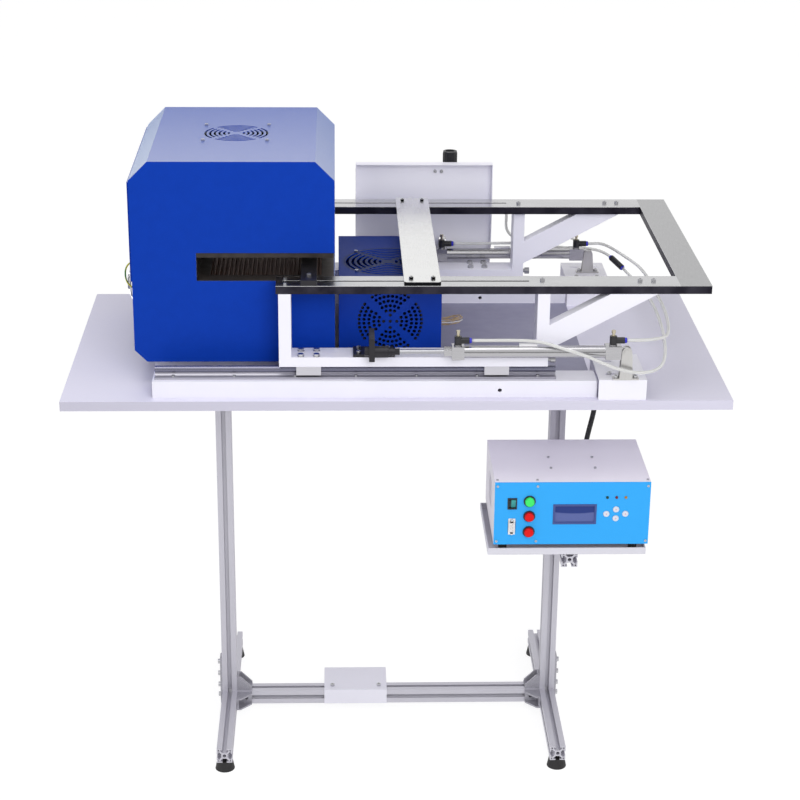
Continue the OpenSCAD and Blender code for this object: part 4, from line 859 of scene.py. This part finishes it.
class HSM_OT_case(bpy.types.Operator):
    """Shell, panel, window, lamps, buttons, rocker and keys of the control case"""

    bl_idname = "heat_shrink.case"
    bl_label = "Control case finishes"

    def execute(self, context):
        t = context.scene.hsm_finishes
        powder_coat("case_shell", t.case_shell, 0.0008, 0.46, 0.00009).on("case_body")
        panel = Finish("panel_film", t.panel, 0.34, Specular_IOR_Level=0.2)
        panel.paint(panel.noise(500), *tones(t.panel, 0.97, 1.02))
        panel.gloss(900, 0.3, 0.4)
        panel.relief(panel.noise(1600), 0.00002, 0.0004)
        panel.on("case_panel")
        self.trim(tinted(t.panel, 0.8))
        self.window()
        self.port()
        self.cap("cap_green", (0.055, 0.86, 0.16), "button_green")
        self.cap("cap_red", (0.76, 0.004, 0.005), "button_red_a", "button_red_b")
        self.rocker()
        self.key_caps()
        return {"FINISHED"}

    def trim(self, blue):
        """Black trim, with the keys' sleeves in the panel's blue and the display's rim in a
        darker one."""
        black = (0.022, 0.022, 0.03)
        f = moulded("trim_black", black, 0.36, 0.0004, 900, 0.00003)
        x, y, z = f.xyz()
        sleeves = x.between(*KEY_FIELD_X) * z.between(*KEY_FIELD_Z) * (y < CASE_FACE_Y)
        f.paint(sleeves, black, blue)
        f.over(x.between(*DISPLAY_X) * z.between(*DISPLAY_Z), (0.045, 0.075, 0.27))
        f.on("case_trim")

    def window(self):
        """Dark window with a painted reflection, paler below a shallow arc, and three lamps beside
        it.
        """
        f = Finish("window_glass", (0.03, 0.05, 0.2), 0.12, Specular_IOR_Level=0.3)
        x, _, z = f.xyz()
        off = x - DISPLAY_MIDDLE_X
        reflection_edge = z + off * off * -ARC_BEND
        # Painted reflection: the window is paler below the arc.
        f.paint(reflection_edge.ramp(*ARC_Z), (0.100, 0.132, 0.36), (0.012, 0.034, 0.205))
        first, second, third = (x > edge for edge in LAMP_EDGES_X)
        lamps = f.mix(second, (0.012, 0.05, 0.035), (0.16, 0.01, 0.02))
        f.over(first, f.mix(third, lamps, (0.42, 0.20, 0.03)))
        f.gloss(60, 0.08, 0.18)
        f.soften(0.0003)
        f.on("display")

    def port(self):
        """Bright metal of the serial port, with a black strip at each end of its socket."""
        f = Finish("port_metal", (0.62, 0.60, 0.60), 0.3, 1.0)
        x, _, z = f.xyz()
        middle = (x - SERIAL_X).math("ABSOLUTE") < STRIP_HALF_WIDTH
        strips = middle * (z - SERIAL_Z).math("ABSOLUTE").between(*STRIP_REACH)
        f.paint(strips, (0.82, 0.80, 0.80), (0.03, 0.03, 0.035))
        f.gloss(300, 0.22, 0.4)
        f.soften(0.0003)
        f.on("serial_port")

    def cap(self, name, colour, *nodes):
        """Glossy cap of a push button, with soft edges."""
        f = Finish(name, colour, 0.24, Specular_IOR_Level=0.2)
        f.paint(f.noise(80), *tones(colour, 0.94, 1.06))
        f.gloss(150, 0.16, 0.26)
        f.soften(0.0012)
        f.on(*nodes)

    def rocker(self):
        """Clear green rocker, paler towards its top, with a painted shade on its left third."""
        f = Finish("rocker_clear", (0.02, 0.26, 0.24), 0.24, Specular_IOR_Level=0.35)
        x, _, z = f.xyz()
        f.paint(z.ramp(*ROCKER_LIT_Z), (0.018, 0.25, 0.255), (0.05, 0.38, 0.36))
        # Painted shade on the rocker's left third.
        f.over(x < ROCKER_SHADE_X, (0.008, 0.03, 0.035))
        f.gloss(200, 0.16, 0.28)
        f.soften(0.0006)
        f.on("rocker")

    def key_caps(self):
        """Pale keys, each with a red dot in its middle."""
        pale = (0.70, 0.76, 0.86)
        f = Finish("key_white", pale, 0.36)
        x, _, z = f.xyz()
        dots = [distance(x - across, z - height) < KEY_DOT_RADIUS for across, height in KEY_CENTRES]
        f.paint(greatest(*dots) * 0.7, pale, (0.80, 0.30, 0.38))
        f.gloss(150, 0.3, 0.42)
        f.soften(0.0009)
        f.on("key_up", "key_left", "key_right", "key_down")


class HSM_OT_oven(bpy.types.Operator):
    """Enamel, tunnel lining, copper grid, fans and guard"""

    bl_idname = "heat_shrink.oven"
    bl_label = "Oven finishes"

    def execute(self, context):
        t = context.scene.hsm_finishes
        oven_enamel("oven_enamel", t.oven).on("oven_shell", "oven_cover")
        fan_enamel("fan_enamel", tinted(t.oven, 1.12), at(GRILLE_X, 0, 0)).on("fan_box")
        # The lining is near black, a painted shade of the tunnel's inside, with a scorched mottle
        # over it.
        lining = Finish("tunnel_lining", (0.04, 0.033, 0.03), 0.55, 0.3)
        scorch = lining.noise(40, 4)
        lining.paint(scorch.drawn(), (0.020, 0.015, 0.014), (0.060, 0.050, 0.046))
        lining.put({"Roughness": scorch.drawn(0.35, 0.6)})
        lining.soften(0.0006)
        lining.on("oven_liner")
        self.grid()
        fans = moulded("fan_black", (0.012, 0.012, 0.013))
        fans.on("fan_frames", "fan_top", "fan_front", "fan_side")
        drawn_metal("guard_chrome", (0.72, 0.72, 0.73), 2, 0.16, 0, 0.04).on("fan_guard")
        return {"FINISHED"}

    def grid(self):
        """Copper grid of the heaters: sine waves along and across, multiplied."""
        f = Finish("copper_grid", (0.30, 0.12, 0.07), 0.42, 0.7)
        one, two = [(way * 2 * math.pi * GRID_WAVES).math("SINE") for way in f.xyz()[:2]]
        wires = one * two
        f.paint(wires.ramp(-0.4, 0.4), (0.07, 0.03, 0.024), (0.26, 0.12, 0.08))
        f.relief(wires, 0.00008)
        f.on("heaters")


class HSM_OT_carriage(bpy.types.Operator):
    """Powder-coated frames, polished ring, bars, blocks and rods"""

    bl_idname = "heat_shrink.carriage"
    bl_label = "Carriage finishes"

    def execute(self, context):
        t = context.scene.hsm_finishes
        frames = powder_coat("frame_white", tinted(t.powder, 1.12), 0.0012)
        frames.on("frame_front", "frame_rear")
        self.base(t.powder)
        self.ring(t.steel)
        plate = drawn_metal("plate_steel", (0.80, 0.80, 0.79), 1, 0.26, 0.0006, 0.05)
        plate.paint(plate.noise(14, 3), (0.80, 0.80, 0.79), (0.88, 0.88, 0.87))
        plate.over(plate.facing()[1].math("ABSOLUTE") > 0.6, (0.012, 0.012, 0.014))
        plate.on("cross_plate")
        self.joints()
        drawn_metal("block_alloy", (0.62, 0.61, 0.66), 0, 0.34, 0.0005, 0.06).on("slide_blocks")
        drawn_metal("rod_chrome", (0.46, 0.46, 0.49), 0, 0.12, 0.0003, 0.03).on("piston_rods")
        self.rails()
        return {"FINISHED"}

    def base(self, powder):
        """White base, darker grey on the upward faces of the deck between its channels."""
        f = powder_coat(
            "base_white", tinted(powder, 1.1), 0.0012, pair=tones(powder, 1.06, 1.13)
        )
        _, y, z = f.xyz()
        # The deck between the channels is a darker grey that drifts by noise.
        deck_grey = f.mix(f.noise(11, 4).drawn(), (0.235, 0.23, 0.33), (0.265, 0.258, 0.365))
        f.over((z < DECK_Z) * y.between(*DECK_Y) * (f.facing()[2] > 0.7), deck_grey)
        f.on("base")

    def ring(self, steel):
        """Ring of steel, polished on top along its bars with a few smears, its end bar brushed
        across and darker by a painted reflection, and scaled below.
        """
        f = Finish("ring_steel", steel, 0.24, 1.0)
        x, _, z = f.xyz()
        lines = f.lines(1500, 0, 0.03)
        f.paint(lines.drawn(), *tones(steel, 0.84, 1.08))
        f.over(f.noise(7, 4, (1, 2.2, 1)).ramp(0.35, 0.75, 0.0, 0.4), tinted(steel, 0.72))
        # The end bar is brushed across, and its darker tone is a painted reflection.
        end_bar_brushing_and_reflection = f.mix(f.lines(1500, 1, 0.03).drawn(), *tones(steel, 0.58, 0.76))
        f.over(x > RING_END_X, end_bar_brushing_and_reflection)
        scale = f.mix(f.noise(30, 4).drawn(), (0.022, 0.020, 0.030), (0.060, 0.056, 0.074))
        below = z < RING_TOP_Z
        f.over(below, scale)
        f.put({"Roughness": 0.22 + below * 0.28})
        f.relief(lines, 0.00003, 0.0008)
        f.on("ring_frame")

    def joints(self):
        """Blackened joints and cross bar, and bright steel end stops at the right."""
        black = (0.027, 0.026, 0.031), (0.034, 0.032, 0.038)
        f = moulded("blackened", (0.030, 0.029, 0.034), 0.38, 0.0006, 500, 0.00006, black)
        x = f.xyz()[0]
        f.over(x > ROD_STOP_X[1], (0.5, 0.5, 0.51))
        f.put({"Metallic": x.ramp(*ROD_STOP_X, 0.6, 1.0)})
        f.on("rod_joints", "cross_bar")

    def rails(self):
        """Polished shafts on matt supports of aluminium."""
        grey = (0.475, 0.466, 0.523), (0.525, 0.515, 0.578)
        f = drawn_metal("rail_support", (0.50, 0.49, 0.55), 0, 0.42, 0.0004, 0.05, 0.8, grey)
        shaft = f.xyz()[2] > SHAFT_Z
        f.over(shaft, (0.21, 0.21, 0.28))
        f.put({"Roughness": 0.42 - shaft * 0.2})
        f.on("rails")


class HSM_OT_air(bpy.types.Operator):
    """Cylinders, clevises, fittings with their collets, needles, regulator and screws"""

    bl_idname = "heat_shrink.air"
    bl_label = "Air line finishes"

    def execute(self, context):
        self.cylinders()
        drawn_metal("zinc_plate", (0.60, 0.59, 0.58), 2, 0.32, 0.0005, 0.08).on("clevises")
        moulded("fitting_black", (0.014, 0.014, 0.017), 0.3, 0.0005).on("air_fittings")
        knob = moulded("regulator_black", (0.009, 0.009, 0.011), 0.42, 0.0008)
        knob.on("regulator", "regulator_knob")
        brass = drawn_metal("needle_brass", (0.55, 0.50, 0.38), 2, 0.24, 0.0003, 0.06)
        brass.on("needle_fa", "needle_fb", "needle_ra", "needle_rb")
        zinc = Finish("screw_zinc", (0.58, 0.58, 0.60), 0.28, 1.0)
        zinc.paint(zinc.noise(300), (0.46, 0.46, 0.48), (0.68, 0.68, 0.70))
        zinc.gloss(500, 0.2, 0.38)
        zinc.soften(0.0003)
        zinc.on("screws", "carriage_screws")
        self.collets(context.scene.hsm_finishes.collet)
        return {"FINISHED"}

    def cylinders(self):
        """Drawn tubes and caps, with the sensor block on each tube in white plastic."""
        grey = (0.42, 0.415, 0.43), (0.49, 0.485, 0.50)
        f = drawn_metal("cylinder_tube", (0.66, 0.65, 0.66), 0, 0.18, 0.0004, 0.05, pair=grey)
        x, _, z = f.xyz()
        sensor = (z > SENSOR_Z) * x.between(*SENSOR_X)
        f.over(sensor, (0.80, 0.79, 0.82))
        f.put({"Metallic": 1.0 - sensor})
        f.on("cylinders")

    def collets(self, colour):
        """Release rings: a rounded collar with a dished mouth round each hose, large where the
        hose leaves a cylinder's fitting and small in the sheet, the valve and the union."""
        blue = moulded("collet_blue", colour, 0.3, 0, 900, 0.00002)
        a, b = route(HOSES["hose_front"][UNION])
        along = (b - a) / np.linalg.norm(b - a)
        middle = (a + b) / 2
        rings = [
            (LARGE_COLLET, at(x + MOUTH_RIGHT, side * PORT_Y, OUTLET_Z), (1, 0, 0))
            for side in (-1, 1)
            for x in PORTS_X
        ]
        rings += [(SMALL_COLLET, at(x, PORT_Y + MOUTH_BACK, OUTLET_Z), (0, 1, 0)) for x in PORTS_X]
        rings += [
            (SMALL_COLLET, route(HOSES["hose_rear"][-1]), (0, 0, -1)),
            (SMALL_COLLET, route(HOSES["hose_valve"][-1]), (1, 0, 0)),
            (SMALL_COLLET, middle + along * UNION_REACH, along),
            (SMALL_COLLET, middle - along * UNION_REACH, -along),
        ]
        for number, (profile, centre, axis) in enumerate(rings):
            name = "collet_%d" % number
            blue.on(turned_piece(name, profile, centre, axis, "machine").name)


class HSM_PT_panel(bpy.types.Panel):
    """Builds and colours of the machine"""

    bl_label = "Heat Shrink Machine"
    bl_idname = "HSM_PT_panel"
    bl_space_type = "VIEW_3D"
    bl_region_type = "UI"
    bl_category = "Heat Shrink"

    def draw(self, context):
        layout = self.layout
        for operator in STEPS:
            layout.operator(operator.bl_idname)
        for group in GROUPS:
            settings = getattr(context.scene, group)
            for name in settings.__annotations__:
                layout.prop(settings, name)


STEPS = (
    HSM_OT_stage,
    HSM_OT_hoses,
    HSM_OT_leads,
    HSM_OT_bench,
    HSM_OT_case,
    HSM_OT_oven,
    HSM_OT_carriage,
    HSM_OT_air,
)
GROUPS = {"hsm_finishes": HSM_Finishes, "hsm_sizes": HSM_Sizes, "hsm_stage": HSM_Stage}
CLASSES = (*GROUPS.values(), *STEPS, HSM_PT_panel)


def register():
    for cls in CLASSES:
        bpy.utils.register_class(cls)
    for name, group in GROUPS.items():
        setattr(bpy.types.Scene, name, bpy.props.PointerProperty(type=group))


def unregister():
    for name in GROUPS:
        delattr(bpy.types.Scene, name)
    for cls in reversed(CLASSES):
        bpy.utils.unregister_class(cls)


def main():
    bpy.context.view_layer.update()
    register()
    for step in STEPS:
        group, name = step.bl_idname.split(".")
        getattr(getattr(bpy.ops, group), name)()


if __name__ == "__main__":
    main()
